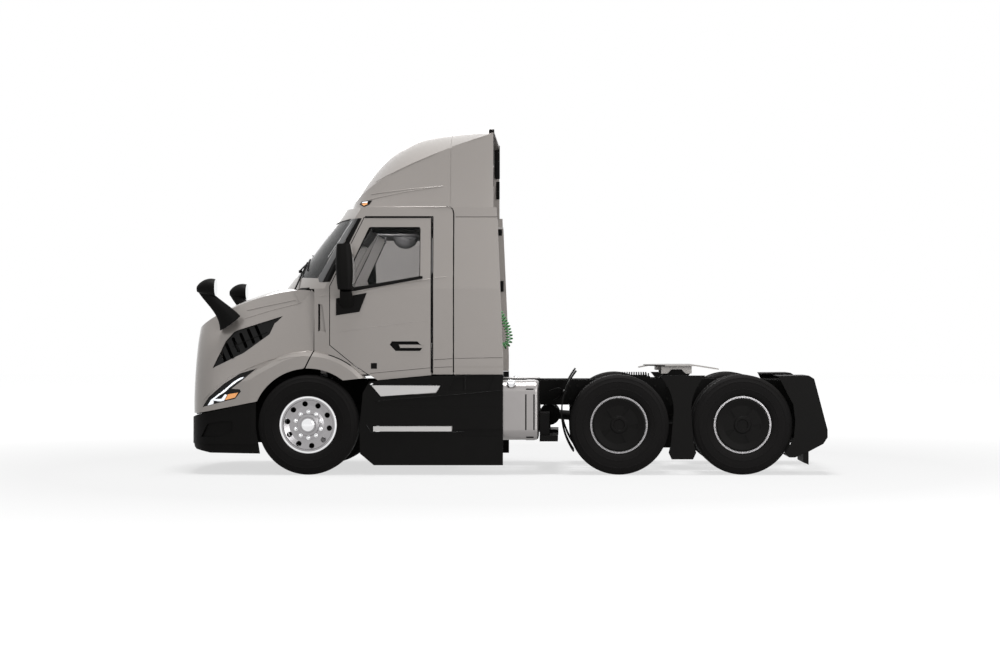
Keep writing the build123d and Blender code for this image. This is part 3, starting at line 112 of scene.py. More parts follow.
class Shader:
    """One material under construction."""

    def __init__(self, name: str) -> None:
        """Starts an empty node tree.

        Args:
            name: the material's name.
        """
        self.material = bpy.data.materials.new(name)
        self.material.use_nodes = True
        self.tree = self.material.node_tree
        self.tree.nodes.clear()

    def add(
        self,
        kind: str,
        settings: dict[str, object] | None = None,
        inputs: dict[str | int, object] | None = None,
        output: str | int = 0,
    ) -> Link:
        """Adds a node.

        Args:
            kind: the node's type.
            settings: its properties, set first.
            inputs: values or links for its sockets, by name or index.
            output: which of its outputs to give back.

        Returns:
            The chosen output.
        """
        node = self.tree.nodes.new(kind)
        for key, value in (settings or {}).items():
            setattr(node, key, value)
        for key, value in (inputs or {}).items():
            if isinstance(value, Link):
                self.tree.links.new(value.socket, node.inputs[key])
            else:
                node.inputs[key].default_value = value
        return Link(self, node.outputs[output] if node.outputs else None)

    def place(self) -> Link:
        """The point on the piece, in metres in the row frame."""
        return self.add("ShaderNodeTexCoord", {}, {}, "Object")

    def stretched(self, scale: Point) -> Link:
        """The point, scaled along each axis."""
        return self.add("ShaderNodeMapping", {}, {"Vector": self.place(), "Scale": scale})

    def parts(self) -> tuple[Link, Link, Link]:
        """The point's X, Y and Z."""
        split = self.add("ShaderNodeSeparateXYZ", {}, {"Vector": self.place()})
        outs = split.socket.node.outputs
        return Link(self, outs[0]), Link(self, outs[1]), Link(self, outs[2])

    def noise(self, scale: float, detail: float = 3.0, where: Link | None = None) -> Link:
        """Noise from 0 to 1.

        Args:
            scale: features per metre.
            detail: octaves.
            where: the coordinates, or the plain point.

        Returns:
            The noise value.
        """
        return self.add(
            "ShaderNodeTexNoise",
            {},
            {"Vector": where or self.place(), "Scale": scale, "Detail": detail},
            "Fac",
        )

    def cells(self, scale: float) -> Link:
        """A random grey for each cell of a Voronoi pattern."""
        colour = self.add(
            "ShaderNodeTexVoronoi", {}, {"Vector": self.place(), "Scale": scale}, "Color"
        )
        return self.add("ShaderNodeSeparateColor", {}, {"Color": colour}, "Red")

    def mix(self, factor: "Link | float", low: "Link | Colour", high: "Link | Colour") -> Link:
        """A colour between two colours."""
        pair = [c if isinstance(c, Link) else (*c, 1.0) for c in (low, high)]
        return self.add(
            "ShaderNodeMix", {"data_type": "RGBA"}, {0: factor, 6: pair[0], 7: pair[1]}, 2
        )

    def bump(self, height: Link, depth: float, strength: float = 1.0) -> Link:
        """A normal from a height field, its depth in metres."""
        return self.add(
            "ShaderNodeBump", {}, {"Height": height, "Distance": depth, "Strength": strength}
        )

    def surface(self, **inputs: object) -> bpy.types.Material:
        """Ends the material in a Principled surface.

        Args:
            inputs: socket values, with spaces in their names as underscores.

        Returns:
            The finished material.
        """
        named = {key.replace("_", " "): value for key, value in inputs.items()}
        return self.end(self.add("ShaderNodeBsdfPrincipled", {}, named))

    def end(self, result: Link) -> bpy.types.Material:
        """Joins a shader to the output and gives back the material."""
        self.add("ShaderNodeOutputMaterial", {}, {"Surface": result})
        return self.material


# ---------------------------------------------------------------- finishes
@dataclass(frozen=True)
class PaintFinish:
    """Metallic automotive paint under clear coat."""

    name: str
    colour: Colour
    flake: float = 0.05
    roughness: float = 0.34

    def build(self) -> bpy.types.Material:
        """Writes the material: flake sparkle, faint tone drift, orange peel and a patchy darker tone
        towards the bottom.
        """
        shader = Shader(self.name)
        flakes = shader.cells(2600.0)
        drift = shader.noise(0.9, 2.0)
        height = shader.parts()[2]
        # Darker in patches towards the bottom, fading out at 1.5 m up.
        low_darkening = ((1.5 - height) * 0.6).clamped() * shader.noise(3.0, 4.0) * 0.16
        base = tuple(c * (1.0 - self.flake) for c in self.colour)
        glint = tuple(c * (1.0 + self.flake) for c in self.colour)
        tone = shader.mix(flakes, base, glint)
        tone = shader.mix(drift * 0.10, tone, tuple(c * 0.86 for c in self.colour))
        tone = shader.mix(low_darkening, tone, (0.24, 0.22, 0.195))
        peel = shader.noise(420.0, 1.0)
        return shader.surface(
            Base_Color=tone,
            Metallic=0.35,
            Roughness=flakes * 0.05 + self.roughness,
            Coat_Weight=0.55,
            Coat_Roughness=0.07,
            Normal=shader.bump(peel, 0.00004),
        )


@dataclass(frozen=True)
class PlasticFinish:
    """Moulded plastic or satin coating with a fine grain."""

    name: str
    colour: Colour
    roughness: float = 0.5
    grain: float = 900.0
    depth: float = 0.00012
    specular: float = 0.05
    dust: float = 0.015

    def build(self) -> bpy.types.Material:
        """Writes the material: leather-like grain, dust and a roughness drift."""
        shader = Shader(self.name)
        grain = shader.noise(self.grain, 3.0)
        patch = shader.noise(5.0, 5.0)
        tone = shader.mix(
            patch * self.dust, self.colour, (0.2, 0.19, 0.175)
        )
        return shader.surface(
            Base_Color=tone,
            Roughness=(patch * 0.16 + (self.roughness - 0.08)),
            Specular_IOR_Level=self.specular,
            Normal=shader.bump(grain, self.depth),
        )


@dataclass(frozen=True)
class MetalFinish:
    """Bare or plated metal, brushed along one axis or polished."""

    name: str
    colour: Colour
    roughness: float = 0.2
    brushed: Point = (30.0, 30.0, 30.0)
    depth: float = 0.00003

    def build(self) -> bpy.types.Material:
        """Writes the material: brush lines, faint staining and a small colour drift."""
        shader = Shader(self.name)
        lines = shader.noise(14.0, 6.0, shader.stretched(self.brushed))
        stain = shader.noise(6.0, 5.0)
        tone = shader.mix(stain * 0.35, self.colour, tuple(c * 0.74 for c in self.colour))
        return shader.surface(
            Base_Color=tone,
            Metallic=1.0,
            Roughness=lines * 0.10 + stain * 0.08 + (self.roughness - 0.09),
            Normal=shader.bump(lines, self.depth),
        )


@dataclass(frozen=True)
class RubberFinish:
    """Tyre rubber, greyer where road dust sits."""

    name: str
    colour: Colour = (0.0085, 0.0080, 0.0080)
    roughness: float = 0.72

    def build(self) -> bpy.types.Material:
        """Writes the material: mould texture and dust in patches."""
        shader = Shader(self.name)
        texture = shader.noise(520.0, 4.0)
        dust = shader.noise(9.0, 6.0)
        tone = shader.mix(dust.power(2.0) * 0.05, self.colour, (0.10, 0.09, 0.08))
        return shader.surface(
            Base_Color=tone,
            Roughness=dust * 0.16 + (self.roughness - 0.08),
            Specular_IOR_Level=0.06,
            Normal=shader.bump(texture, 0.0002),
        )


@dataclass(frozen=True)
class GlassFinish:
    """Thin tinted glazing that lets the room behind it show."""

    name: str
    tint: Colour = (0.74, 0.77, 0.76)
    veil: float = 0.10

    def build(self) -> bpy.types.Material:
        """Writes the material: a tinted clear pane under a glossy skin, with faint haze."""
        shader = Shader(self.name)
        haze = shader.noise(4.0, 4.0) * 0.05
        edge = shader.add("ShaderNodeLayerWeight", {}, {"Blend": 0.42}, "Fresnel")
        clear = shader.add("ShaderNodeBsdfTransparent", {}, {"Color": (*self.tint, 1.0)})
        skin = shader.add(
            "ShaderNodeBsdfPrincipled",
            {},
            {"Base Color": (0.02, 0.024, 0.024, 1.0), "Roughness": 0.03, "IOR": 1.5},
        )
        blend = (edge * 0.55 + haze + self.veil).clamped()
        return shader.end(
            shader.add("ShaderNodeMixShader", {}, {0: blend, 1: clear, 2: skin})
        )


@dataclass(frozen=True)
class LampFinish:
    """A lens or light guide that glows a little of its own colour."""

    name: str
    colour: Colour
    glow: float = 0.3
    roughness: float = 0.15

    def build(self) -> bpy.types.Material:
        """Writes the material: fine optic flutes over an even glow."""
        shader = Shader(self.name)
        flutes = (shader.parts()[0] * 700.0).sine() * (shader.parts()[2] * 700.0).sine()
        tone = shader.mix(flutes * 0.12 + 0.12, self.colour, (1.0, 1.0, 1.0))
        return shader.surface(
            Base_Color=tone,
            Roughness=shader.noise(40.0) * 0.08 + self.roughness,
            Emission_Color=tone,
            Emission_Strength=self.glow,
            Normal=shader.bump(flutes, 0.0002),
        )


@dataclass(frozen=True)
class ClothFinish:
    """Woven seat cloth."""

    name: str
    colour: Colour
    threads: float = 700.0

    def build(self) -> bpy.types.Material:
        """Writes the material: a plain weave with a painted highlight on its raised threads, and a
        faint random tone.
        """
        shader = Shader(self.name)
        across, along, up = shader.parts()
        turn = self.threads * 2.0 * math.pi
        weave = ((across + up * 0.7) * turn).sine() * ((along + up * 0.7) * turn).sine()
        shade = weave * 0.5 + 0.5
        # Painted highlight: the colour lightens where the weave's bump stands highest; the noise adds a
        # random tone.
        tone = shader.mix(shade * 0.4 + shader.noise(60.0) * 0.2, self.colour,
                          tuple(c * 1.9 for c in self.colour))
        return shader.surface(
            Base_Color=tone,
            Roughness=0.92,
            Specular_IOR_Level=0.2,
            Sheen_Weight=0.25,
            Normal=shader.bump(shade, 0.0003),
        )


class Finish(Enum):
    """The finishes of the tractor, by use."""

    BODY = PaintFinish("body_taupe", (0.325, 0.298, 0.278))
    TRIM = PlasticFinish("grained_black", (0.0065, 0.0062, 0.0060), 0.5)
    GLOSS_TRIM = PlasticFinish("gloss_black", (0.005, 0.005, 0.005), 0.22, 300.0, 0.00002, 0.16)
    FRAME = PlasticFinish("frame_black", (0.004, 0.0039, 0.0038), 0.55, 500.0, 0.0002, 0.04, 0.02)
    CAST = PlasticFinish("cast_black", (0.007, 0.0068, 0.0065), 0.62, 260.0, 0.0005, 0.06, 0.04)
    RUBBER = RubberFinish("tyre_rubber")
    # Black rubber for the real seals, also used as painted shade on the faces inside the panel gaps and
    # on the beads laid in the seams.
    SEAL = PlasticFinish("seal_rubber_and_gap_shade", (0.004, 0.004, 0.004), 0.7, 1200.0, 0.0001, 0.04)
    ALLOY = MetalFinish("polished_alloy", (0.36, 0.35, 0.357), 0.24)
    TANK = MetalFinish("brushed_tank", (0.30, 0.285, 0.28), 0.36, (2.0, 60.0, 2.0))
    STEP = MetalFinish("step_alloy", (0.50, 0.49, 0.482), 0.34, (1.0, 40.0, 60.0), 0.00005)
    CHROME = MetalFinish("bright_plate", (0.88, 0.88, 0.89), 0.07)
    MIRROR = MetalFinish("mirror_silver", (0.86, 0.88, 0.88), 0.10, (4.0, 4.0, 4.0), 0.000001)
    STEEL = MetalFinish("worn_steel", (0.22, 0.21, 0.2), 0.38, (40.0, 6.0, 10.0), 0.00015)
    GLASS = GlassFinish("door_glass", (0.78, 0.77, 0.765), 0.04)
    WINDSHIELD = GlassFinish("front_glass", (0.92, 0.91, 0.91), 0.26)
    BORDER = PlasticFinish("glass_border", (0.085, 0.085, 0.087), 0.16, 300.0, 0.00001, 0.5)
    INTERIOR = PlasticFinish("interior_grey", (0.48, 0.465, 0.455), 0.6, 700.0)
    INTERIOR_DARK = PlasticFinish("interior_dark", (0.035, 0.035, 0.036), 0.55, 700.0)
    CLOTH = ClothFinish("woven_cloth", (0.05, 0.05, 0.053))
    GREEN = PlasticFinish("green_jacket", (0.085, 0.34, 0.105), 0.34, 900.0, 0.00005, 0.5)
    WHITE_LIGHT = LampFinish("daylight_guide", (0.92, 0.95, 1.0), 0.55)
    AMBER = LampFinish("amber_lens", (0.95, 0.34, 0.03), 0.35)
    RED = LampFinish("red_lens", (0.5, 0.012, 0.01), 0.12)

    @property
    def slot(self) -> str:
        """The record's material slot for pieces that are laid on the body in this finish."""
        return LAID_SLOTS.get(self, "black_plastic")

    def material(self) -> bpy.types.Material:
        """The material, written once and then shared."""
        found = bpy.data.materials.get(self.value.name)
        return found or self.value.build()


LAID_SLOTS = {
    Finish.BODY: "body_paint", Finish.CHROME: "tank_alloy", Finish.BORDER: "clear_glass",
    Finish.WHITE_LIGHT: "lamp_lens", Finish.AMBER: "lamp_lens",
}


# ---------------------------------------------------------------- workbench
class Bench:
    """Modelling moves shared by the sub-assemblies."""

    @staticmethod
    def clear() -> None:
        """Leaves edit mode with nothing selected."""
        if bpy.context.object and bpy.context.object.mode != "OBJECT":
            bpy.ops.object.mode_set(mode="OBJECT")
        bpy.ops.object.select_all(action="DESELECT")

    @classmethod
    def choose(cls, piece: bpy.types.Object) -> None:
        """Makes one piece the active and only selected object."""
        cls.clear()
        bpy.context.view_layer.objects.active = piece
        piece.select_set(True)

    @staticmethod
    def spline(name: str, points: Iterable[Point], smooth: bool = True) -> bpy.types.Curve:
        """A curve through some points, as data.

        Args:
            name: the curve's name.
            points: its knots.
            smooth: whether it bends in curves rather than at corners.

        Returns:
            The curve.
        """
        data = bpy.data.curves.new(name, "CURVE")
        data.dimensions = "3D"
        knots = [tuple(point) for point in points]
        spline = data.splines.new("NURBS" if smooth else "POLY")
        spline.points.add(len(knots) - 1)
        for knot, place in zip(spline.points, knots):
            knot.co = (*place, 1.0)
        if smooth:
            spline.order_u = 3
            spline.use_endpoint_u = True
        return data

    @staticmethod
    def settle(name: str) -> bpy.types.Object:
        """Leaves edit mode and names the new object.

        Args:
            name: the piece's name.

        Returns:
            The object, its origin at the row's origin.
        """
        bpy.ops.object.mode_set(mode="OBJECT")
        piece = bpy.context.object
        piece.name = name
        piece.data.name = name
        return piece

    @classmethod
    def box(cls, name: str, low: Point, high: Point, round_by: float = 0.0) -> bpy.types.Object:
        """A box between two corners.

        Args:
            name: the piece's name.
            low: its lowest corner.
            high: its highest corner.
            round_by: bevel width, or 0 for sharp edges.

        Returns:
            The piece.
        """
        cls.clear()
        bpy.ops.mesh.primitive_cube_add(size=1.0, enter_editmode=True)
        bpy.ops.transform.resize(value=[h - l for l, h in zip(low, high)])
        bpy.ops.transform.translate(value=[(l + h) / 2 for l, h in zip(low, high)])
        piece = cls.settle(name)
        if round_by:
            cls.bevel(piece, round_by, 3)
        return piece

    @classmethod
    def rod(
        cls, name: str, start: Point, end: Point, radius: float, sides: int = 24, tip: float = 1.0
    ) -> bpy.types.Object:
        """A round bar or cone from one point to another.

        Args:
            name: the piece's name.
            start: centre of its first end.
            end: centre of its last end.
            radius: its radius at the first end.
            sides: faces around.
            tip: the last end's radius over the first's.

        Returns:
            The piece.
        """
        cls.clear()
        run = Vector(end) - Vector(start)
        bpy.ops.mesh.primitive_cone_add(
            vertices=sides, radius1=radius, radius2=radius * tip, depth=run.length
        )
        piece = cls.settle(name)
        turn = run.to_track_quat("Z", "Y").to_matrix().to_4x4()
        piece.data.transform(Matrix.Translation((Vector(start) + Vector(end)) / 2) @ turn)
        cls.smooth(piece)
        return piece

    @classmethod
    def plate(
        cls, name: str, outline: Sequence[Point], push: Point, round_by: float = 0.0
    ) -> bpy.types.Object:
        """A flat outline pushed into a slab.

        Args:
            name: the piece's name.
            outline: its corners in order.
            push: the extrusion.
            round_by: bevel width, or 0 for sharp edges.

        Returns:
            The piece.
        """
        cls.clear()
        bpy.ops.mesh.primitive_circle_add(vertices=len(outline), fill_type="NGON")
        piece = bpy.context.object
        for vertex, corner in zip(piece.data.vertices, outline):
            vertex.co = corner
        bpy.ops.object.mode_set(mode="EDIT")
        bpy.ops.mesh.select_all(action="SELECT")
        bpy.ops.mesh.extrude_region_move(TRANSFORM_OT_translate={"value": push})
        bpy.ops.mesh.select_all(action="SELECT")
        bpy.ops.mesh.normals_make_consistent(inside=False)
        piece = cls.settle(name)
        if round_by:
            cls.bevel(piece, round_by, 2)
        return piece

    @classmethod
    def lathe(
        cls,
        name: str,
        profile: Sequence[tuple[float, float]],
        centre: Point,
        steps: int = 64,
    ) -> bpy.types.Object:
        """A profile of (radius, height) spun about a cross-truck axis.

        Args:
            name: the piece's name.
            profile: radius and Y offset of each point in turn.
            centre: a point on the axis.
            steps: faces around.

        Returns:
            The piece.
        """
        cls.clear()
        bpy.ops.mesh.primitive_plane_add(size=1.0, enter_editmode=True)
        bpy.ops.mesh.select_mode(type="VERT")
        bpy.ops.mesh.select_all(action="SELECT")
        bpy.ops.mesh.merge(type="CENTER")
        here = Vector((profile[0][0], profile[0][1], 0.0))
        bpy.ops.transform.translate(value=here)
        for radius, height in profile[1:]:
            there = Vector((radius, height, 0.0))
            bpy.ops.mesh.extrude_region_move(TRANSFORM_OT_translate={"value": there - here})
            here = there
        bpy.ops.mesh.select_all(action="SELECT")
        bpy.ops.mesh.spin(
            steps=steps, angle=2 * math.pi, center=(0, 0, 0), axis=ACROSS, dupli=False
        )
        bpy.ops.mesh.select_all(action="SELECT")
        bpy.ops.mesh.remove_doubles(threshold=0.00002)
        bpy.ops.mesh.normals_make_consistent(inside=False)
        piece = cls.settle(name)
        piece.data.transform(Matrix.Translation(centre))
        cls.smooth(piece)
        return piece

    @classmethod
    def tube(
        cls, name: str, points: Sequence[Point], radius: float, smooth: bool = True
    ) -> bpy.types.Object:
        """A bent tube through some points.

        Args:
            name: the piece's name.
            points: its centreline.
            radius: its outer radius.
            smooth: whether it bends in curves rather than at corners.

        Returns:
            The piece, as a mesh.
        """
        cls.clear()
        data = cls.spline(name, points, smooth)
        data.bevel_depth = radius
        data.bevel_resolution = 3
        data.use_fill_caps = True
        piece = bpy.data.objects.new(name, data)
        bpy.context.scene.collection.objects.link(piece)
        bpy.context.view_layer.objects.active = piece
        piece.select_set(True)
        bpy.ops.object.convert(target="MESH")
        piece = bpy.context.object
        cls.smooth(piece)
        return piece

    @classmethod
    def copy(cls, piece: bpy.types.Object, name: str, move: Matrix) -> bpy.types.Object:
        """A copy with its own mesh, moved or mirrored in its mesh.

        Args:
            piece: what to copy.
            name: the copy's name.
            move: the change of place.

        Returns:
            The copy.
        """
        twin = piece.copy()
        twin.data = piece.data.copy()
        twin.name = name
        twin.data.name = name
        twin.data.transform(move)
        if move.determinant() < 0:
            twin.data.flip_normals()
        bpy.context.scene.collection.objects.link(twin)
        return twin

    @classmethod
    def join(cls, name: str, pieces: Iterable[bpy.types.Object]) -> bpy.types.Object:
        """Several objects as one piece."""
        cls.clear()
        chosen = list(pieces)
        for piece in chosen:
            piece.select_set(True)
        bpy.context.view_layer.objects.active = chosen[0]
        if len(chosen) > 1:
            bpy.ops.object.join()
        return cls.settle(name)

    @classmethod
    def modify(cls, piece: bpy.types.Object, kind: str, **settings: object) -> bpy.types.Object:
        """Adds a modifier and applies it."""
        cls.choose(piece)
        bpy.ops.object.modifier_add(type=kind)
        modifier = piece.modifiers[-1]
        for key, value in settings.items():
            setattr(modifier, key, value)
        bpy.ops.object.modifier_apply(modifier=modifier.name)
        return piece

    @classmethod
    def bevel(cls, piece: bpy.types.Object, width: float, segments: int = 2) -> bpy.types.Object:
        """Rounds a piece's sharp edges and shades it."""
        cls.modify(
            piece, "BEVEL", width=width, segments=segments, limit_method="ANGLE", angle_limit=0.6
        )
        return cls.smooth(piece)

    @classmethod
    def smooth(cls, piece: bpy.types.Object, angle: float = 0.7) -> bpy.types.Object:
        """Shades a piece smooth, with its sharp edges kept."""
        cls.choose(piece)
        bpy.ops.object.shade_smooth_by_angle(angle=angle)
        return piece


def fit(piece: bpy.types.Object, finish: Finish, body: str) -> bpy.types.Object:
    """Gives a piece its finish and its body.

    Args:
        piece: the finished mesh.
        finish: its finish.
        body: the CAD body that it rides on.

    Returns:
        The piece.
    """
    piece.data.materials.clear()
    piece.data.materials.append(finish.material())
    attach(piece, body)
    LOG.info("%s rides on %s", piece.name, body)
    return piece


def coat(node: str, finish: Finish) -> None:
    """Gives a CAD node its finish."""
    materials = FRAME["nodes"][node].data.materials
    materials.clear()
    materials.append(finish.material())


def coat_where(node: str, finish: Finish, chosen: Callable[[Vector, Vector], bool]) -> None:
    """Gives the chosen faces of a CAD node another finish.

    Args:
        node: the node.
        finish: the finish for those faces.
        chosen: picks faces by centre and normal.
    """
    mesh = FRAME["nodes"][node].data
    mesh.materials.append(finish.material())
    index = len(mesh.materials) - 1
    for polygon in mesh.polygons:
        if chosen(polygon.center, polygon.normal):
            polygon.material_index = index


class View(Enum):
    """A direction to look from: the two axes seen, the third axis, and where the look starts on it."""

    LEFT = (0, 2, 1, 2.0)
    TOP = (0, 1, 2, 5.0)

    def spot(self, place: Flat, depth: float) -> Vector:
        """The point seen at a place, at a depth on the third axis."""
        across, up, third, _ = self.value
        point = Vector((0.0, 0.0, 0.0))
        point[across], point[up], point[third] = place[0], place[1], depth
        return point

    @property
    def start(self) -> float:
        """Where the look starts on the third axis."""
        return self.value[3]

    @property
    def aim(self) -> Vector:
        """The direction of the look."""
        return self.spot((0.0, 0.0), -math.copysign(1.0, self.start))


class Skin:
    """Several CAD nodes' outer faces as one, for laying lines and panels on.

    Where a place falls in a gap or slot, the skin beside it gives the depth.
    """

    REACHES = (0.0, 0.004, 0.010, 0.018, 0.028, 0.040)

    def __init__(self, *nodes: str) -> None:
        """Copies the nodes' meshes into one object.

        Args:
            nodes: the nodes' names.
        """
        copies = []
        for node in nodes:
            data = FRAME["nodes"][node].data.copy()
            copies.append(bpy.data.objects.new(f"skin_{node}", data))
            bpy.context.scene.collection.objects.link(copies[-1])
        self.whole = Bench.join("skin", copies)

    def point(self, place: Flat, view: View = View.LEFT, lift: float = 0.0) -> Vector:
        """The outermost point at a place in a view.

        Args:
            place: where, on the view's two axes.
            view: the view.
            lift: how far outside the skin.

        Returns:
            The point.
        """
        for reach in self.REACHES:
            for turn in range(8):
                across = place[0] + reach * math.cos(turn * math.pi / 4)
                up = place[1] + reach * math.sin(turn * math.pi / 4)
                start = view.spot((across, up), view.start)
                hit, where, _, _ = self.whole.ray_cast(start, view.aim)
                if hit and self.same_side(where, view):
                    return view.spot(place, where[view.value[2]]) - view.aim * lift
        raise ValueError(f"no skin at {place} from {view.name}")

    @staticmethod
    def same_side(where: Vector, view: View) -> bool:
        """Whether a point is on the near half of the truck."""
        return view is not View.LEFT or where.y > 0.0

    def drop(self) -> None:
        """Removes the copies."""
        bpy.data.meshes.remove(self.whole.data)


@dataclass(frozen=True)
class Line:
    """A thin bead that follows a skin through some places."""

    route: tuple[Flat, ...]
    radius: float = 0.003
    lift: float = 0.0
    spacing: float = 0.04

    def lay(self, skin: Skin, view: View) -> bpy.types.Object:
        """Models it.

        Args:
            skin: what it lies on.
            view: the view that its route is in.

        Returns:
            The bead.
        """
        points = []
        for (a0, b0), (a1, b1) in zip(self.route, self.route[1:]):
            count = max(1, round(math.hypot(a1 - a0, b1 - b0) / self.spacing))
            for share in (step / count for step in range(count)):
                place = (a0 + (a1 - a0) * share, b0 + (b1 - b0) * share)
                points.append(skin.point(place, view, self.lift))
        points.append(skin.point(self.route[-1], view, self.lift))
        return Bench.tube("line", [tuple(point) for point in points], self.radius, smooth=False)


@dataclass(frozen=True)
class Panel:
    """A thin panel laid on a skin, cut to an outline."""

    outline: tuple[Flat, ...]
    thickness: float = 0.003
    lift: float = 0.0005
    cuts: int = 4

    def lay(self, skin: Skin, view: View) -> bpy.types.Object:
        """Models it.

        Args:
            skin: what it lies on.
            view: the view that its outline is in.

        Returns:
            The panel.
        """
        Bench.clear()
        bpy.ops.mesh.primitive_circle_add(vertices=len(self.outline), fill_type="NGON")
        piece = bpy.context.object
        for vertex, place in zip(piece.data.vertices, self.outline):
            vertex.co = view.spot(place, view.start * 0.9)
        bpy.ops.object.mode_set(mode="EDIT")
        bpy.ops.mesh.select_all(action="SELECT")
        bpy.ops.mesh.quads_convert_to_tris(ngon_method="BEAUTY")
        bpy.ops.mesh.subdivide(number_cuts=self.cuts)
        piece = Bench.settle("panel")
        for vertex in piece.data.vertices:
            place = (vertex.co[view.value[0]], vertex.co[view.value[1]])
            vertex.co = skin.point(place, view, self.lift)
        if sum(polygon.normal.dot(view.aim) for polygon in piece.data.polygons) > 0:
            piece.data.flip_normals()
        Bench.modify(piece, "SOLIDIFY", thickness=self.thickness, offset=1.0)
        return Bench.smooth(piece)


MIRROR_Y = Matrix.Scale(-1.0, 4, Vector((0.0, 1.0, 0.0)))


def both_sides(
    left: bpy.types.Object, stem: str, finish: Finish, bodies: tuple[str, str]
) -> None:
    """Fits a left-hand piece and its right-hand twin.

    Args:
        left: the left-hand piece.
        stem: the pieces' name without its side.
        finish: their finish.
        bodies: the left and right bodies that they ride on.
    """
    right = Bench.copy(left, f"{stem}_right", MIRROR_Y)
    left.name = f"{stem}_left"
    for piece, body in zip((left, right), bodies):
        fit(piece, finish, body)


BOTH_CHASSIS = ("chassis", "chassis")
BOTH_DOORS = ("left_door", "right_door")
BOTH_HOOD = ("hood", "hood")


def dress(
    nodes: Sequence[str], bodies: tuple[str, str],
    rows: Iterable[tuple[str, Sequence[Line | Panel], Finish]],
) -> None:
    """Lays lines and panels on the left-hand skin, each row as one piece a side.

    Args:
        nodes: the CAD nodes that make the skin.
        bodies: the left and right bodies that the pieces ride on.
        rows: each piece's name without its side, what it is laid from, and its finish.
    """
    skin = Skin(*nodes)
    for stem, items, finish in rows:
        laid = Bench.join(stem, [item.lay(skin, View.LEFT) for item in items])
        both_sides(laid, stem, finish, bodies)
    skin.drop()


# ---------------------------------------------------------------- studio
@dataclass
class Studio:
    """Pale floor, white surroundings, soft lamps and the camera."""

    eye: Point = (-0.645, 23.22, 1.432)
    lens: float = 75.8
    shift: tuple[float, float] = (-0.065, 0.0045)
    floor_size: float = 120.0
    floor_colour: Colour = (0.20, 0.20, 0.20)
    sky_fill: float = 0.20
    lit_reach: float = 5.0
    near_glow: float = 0.66
    far_glow: float = 0.96
    lamps: tuple[tuple[str, Point, Point, float, float], ...] = (
        ("key", (-6.0, 13.0, 4.0), (0.0, 0.5, 1.6), 6.0, 800.0),
        ("top", (0.5, 2.0, 22.0), (0.5, 0.4, 1.0), 8.0, 5000.0),
        ("rear", (-9.0, 5.0, 6.0), (-1.5, 0.5, 1.2), 4.0, 120.0),
        ("far", (2.0, -12.0, 7.0), (0.0, 0.0, 1.5), 6.0, 260.0),
        ("cabin", (1.20, 0.65, 2.50), (1.45, -1.0, 2.0), 0.3, 35.0),
    )

    def camera(self) -> None:
        """A long lens square to the left side."""
        data = bpy.data.cameras.new("side_camera")
        data.lens = self.lens
        data.sensor_width = 36.0
        data.shift_x, data.shift_y = self.shift
        data.clip_end = 400.0
        camera = bpy.data.objects.new("side_camera", data)
        camera.location = self.eye
        camera.rotation_euler = (math.pi / 2, 0.0, math.pi)
        bpy.context.scene.collection.objects.link(camera)
        bpy.context.scene.camera = camera

    def _seen(self, shader: Shader) -> Link:
        """1 for rays from the camera, a reflection or through glass."""
        path = shader.add("ShaderNodeLightPath")
        outs = path.socket.node.outputs
        seen = Link(shader, outs["Is Camera Ray"]) + Link(shader, outs["Is Glossy Ray"])
        return (seen + Link(shader, outs["Is Transmission Ray"])).clamped()

    def floor(self) -> None:
        """A wide floor whose white shows through and whose shadow stays."""
        Bench.clear()
        bpy.ops.mesh.primitive_plane_add(size=self.floor_size)
        floor = bpy.context.object
        floor.name = "studio_floor"
        shader = Shader("studio_floor")
        grey = shader.noise(0.7, 2.0) * 0.01 + 0.99
        tone = shader.mix(grey, (0.19, 0.19, 0.19), self.floor_colour)
        matt = shader.add("ShaderNodeBsdfDiffuse", {}, {"Color": tone})
        far = shader.add("ShaderNodeVectorMath", {"operation": "LENGTH"}, {0: shader.place()}, "Value")
        rise = ((far - self.lit_reach) * 0.12).clamped()
        glow_tone = shader.mix(rise, (self.near_glow,) * 3, (self.far_glow,) * 3)
        lift = shader.add("ShaderNodeEmission", {}, {"Color": glow_tone, "Strength": 1.0})
        dark = shader.add("ShaderNodeEmission", {}, {"Strength": 0.0})
        glow = shader.add("ShaderNodeMixShader", {}, {0: self._seen(shader), 1: dark, 2: lift})
        floor.data.materials.append(
            shader.end(shader.add("ShaderNodeAddShader", {}, {0: matt, 1: glow}))
        )

    def surroundings(self) -> None:
        """White to the eye and softer as a light."""
        world = bpy.data.worlds.new("white_room")
        world.use_nodes = True
        shader = Shader("unused_room")
        bpy.data.materials.remove(shader.material)
        shader.tree = world.node_tree
        shader.tree.nodes.clear()
        fill = shader.add("ShaderNodeBackground", {}, {"Strength": self.sky_fill})
        white = shader.add("ShaderNodeBackground", {}, {"Color": (1, 1, 1, 1), "Strength": 1.0})
        both = shader.add("ShaderNodeMixShader", {}, {0: self._seen(shader), 1: fill, 2: white})
        shader.add("ShaderNodeOutputWorld", {}, {"Surface": both})
        bpy.context.scene.world = world

    def lights(self) -> None:
        """Large square lamps, each aimed at a point."""
        for name, place, target, size, power in self.lamps:
            data = bpy.data.lights.new(name, "AREA")
            data.shape, data.size, data.energy = "SQUARE", size, power
            lamp = bpy.data.objects.new(name, data)
            lamp.location = place
            aim = Vector(target) - Vector(place)
            lamp.rotation_euler = aim.to_track_quat("-Z", "Y").to_euler()
            bpy.context.scene.collection.objects.link(lamp)

    def build(self) -> None:
        """Sets up the whole studio."""
        self.camera()
        self.floor()
        self.surroundings()
        self.lights()
        bpy.context.scene.view_settings.view_transform = "Standard"


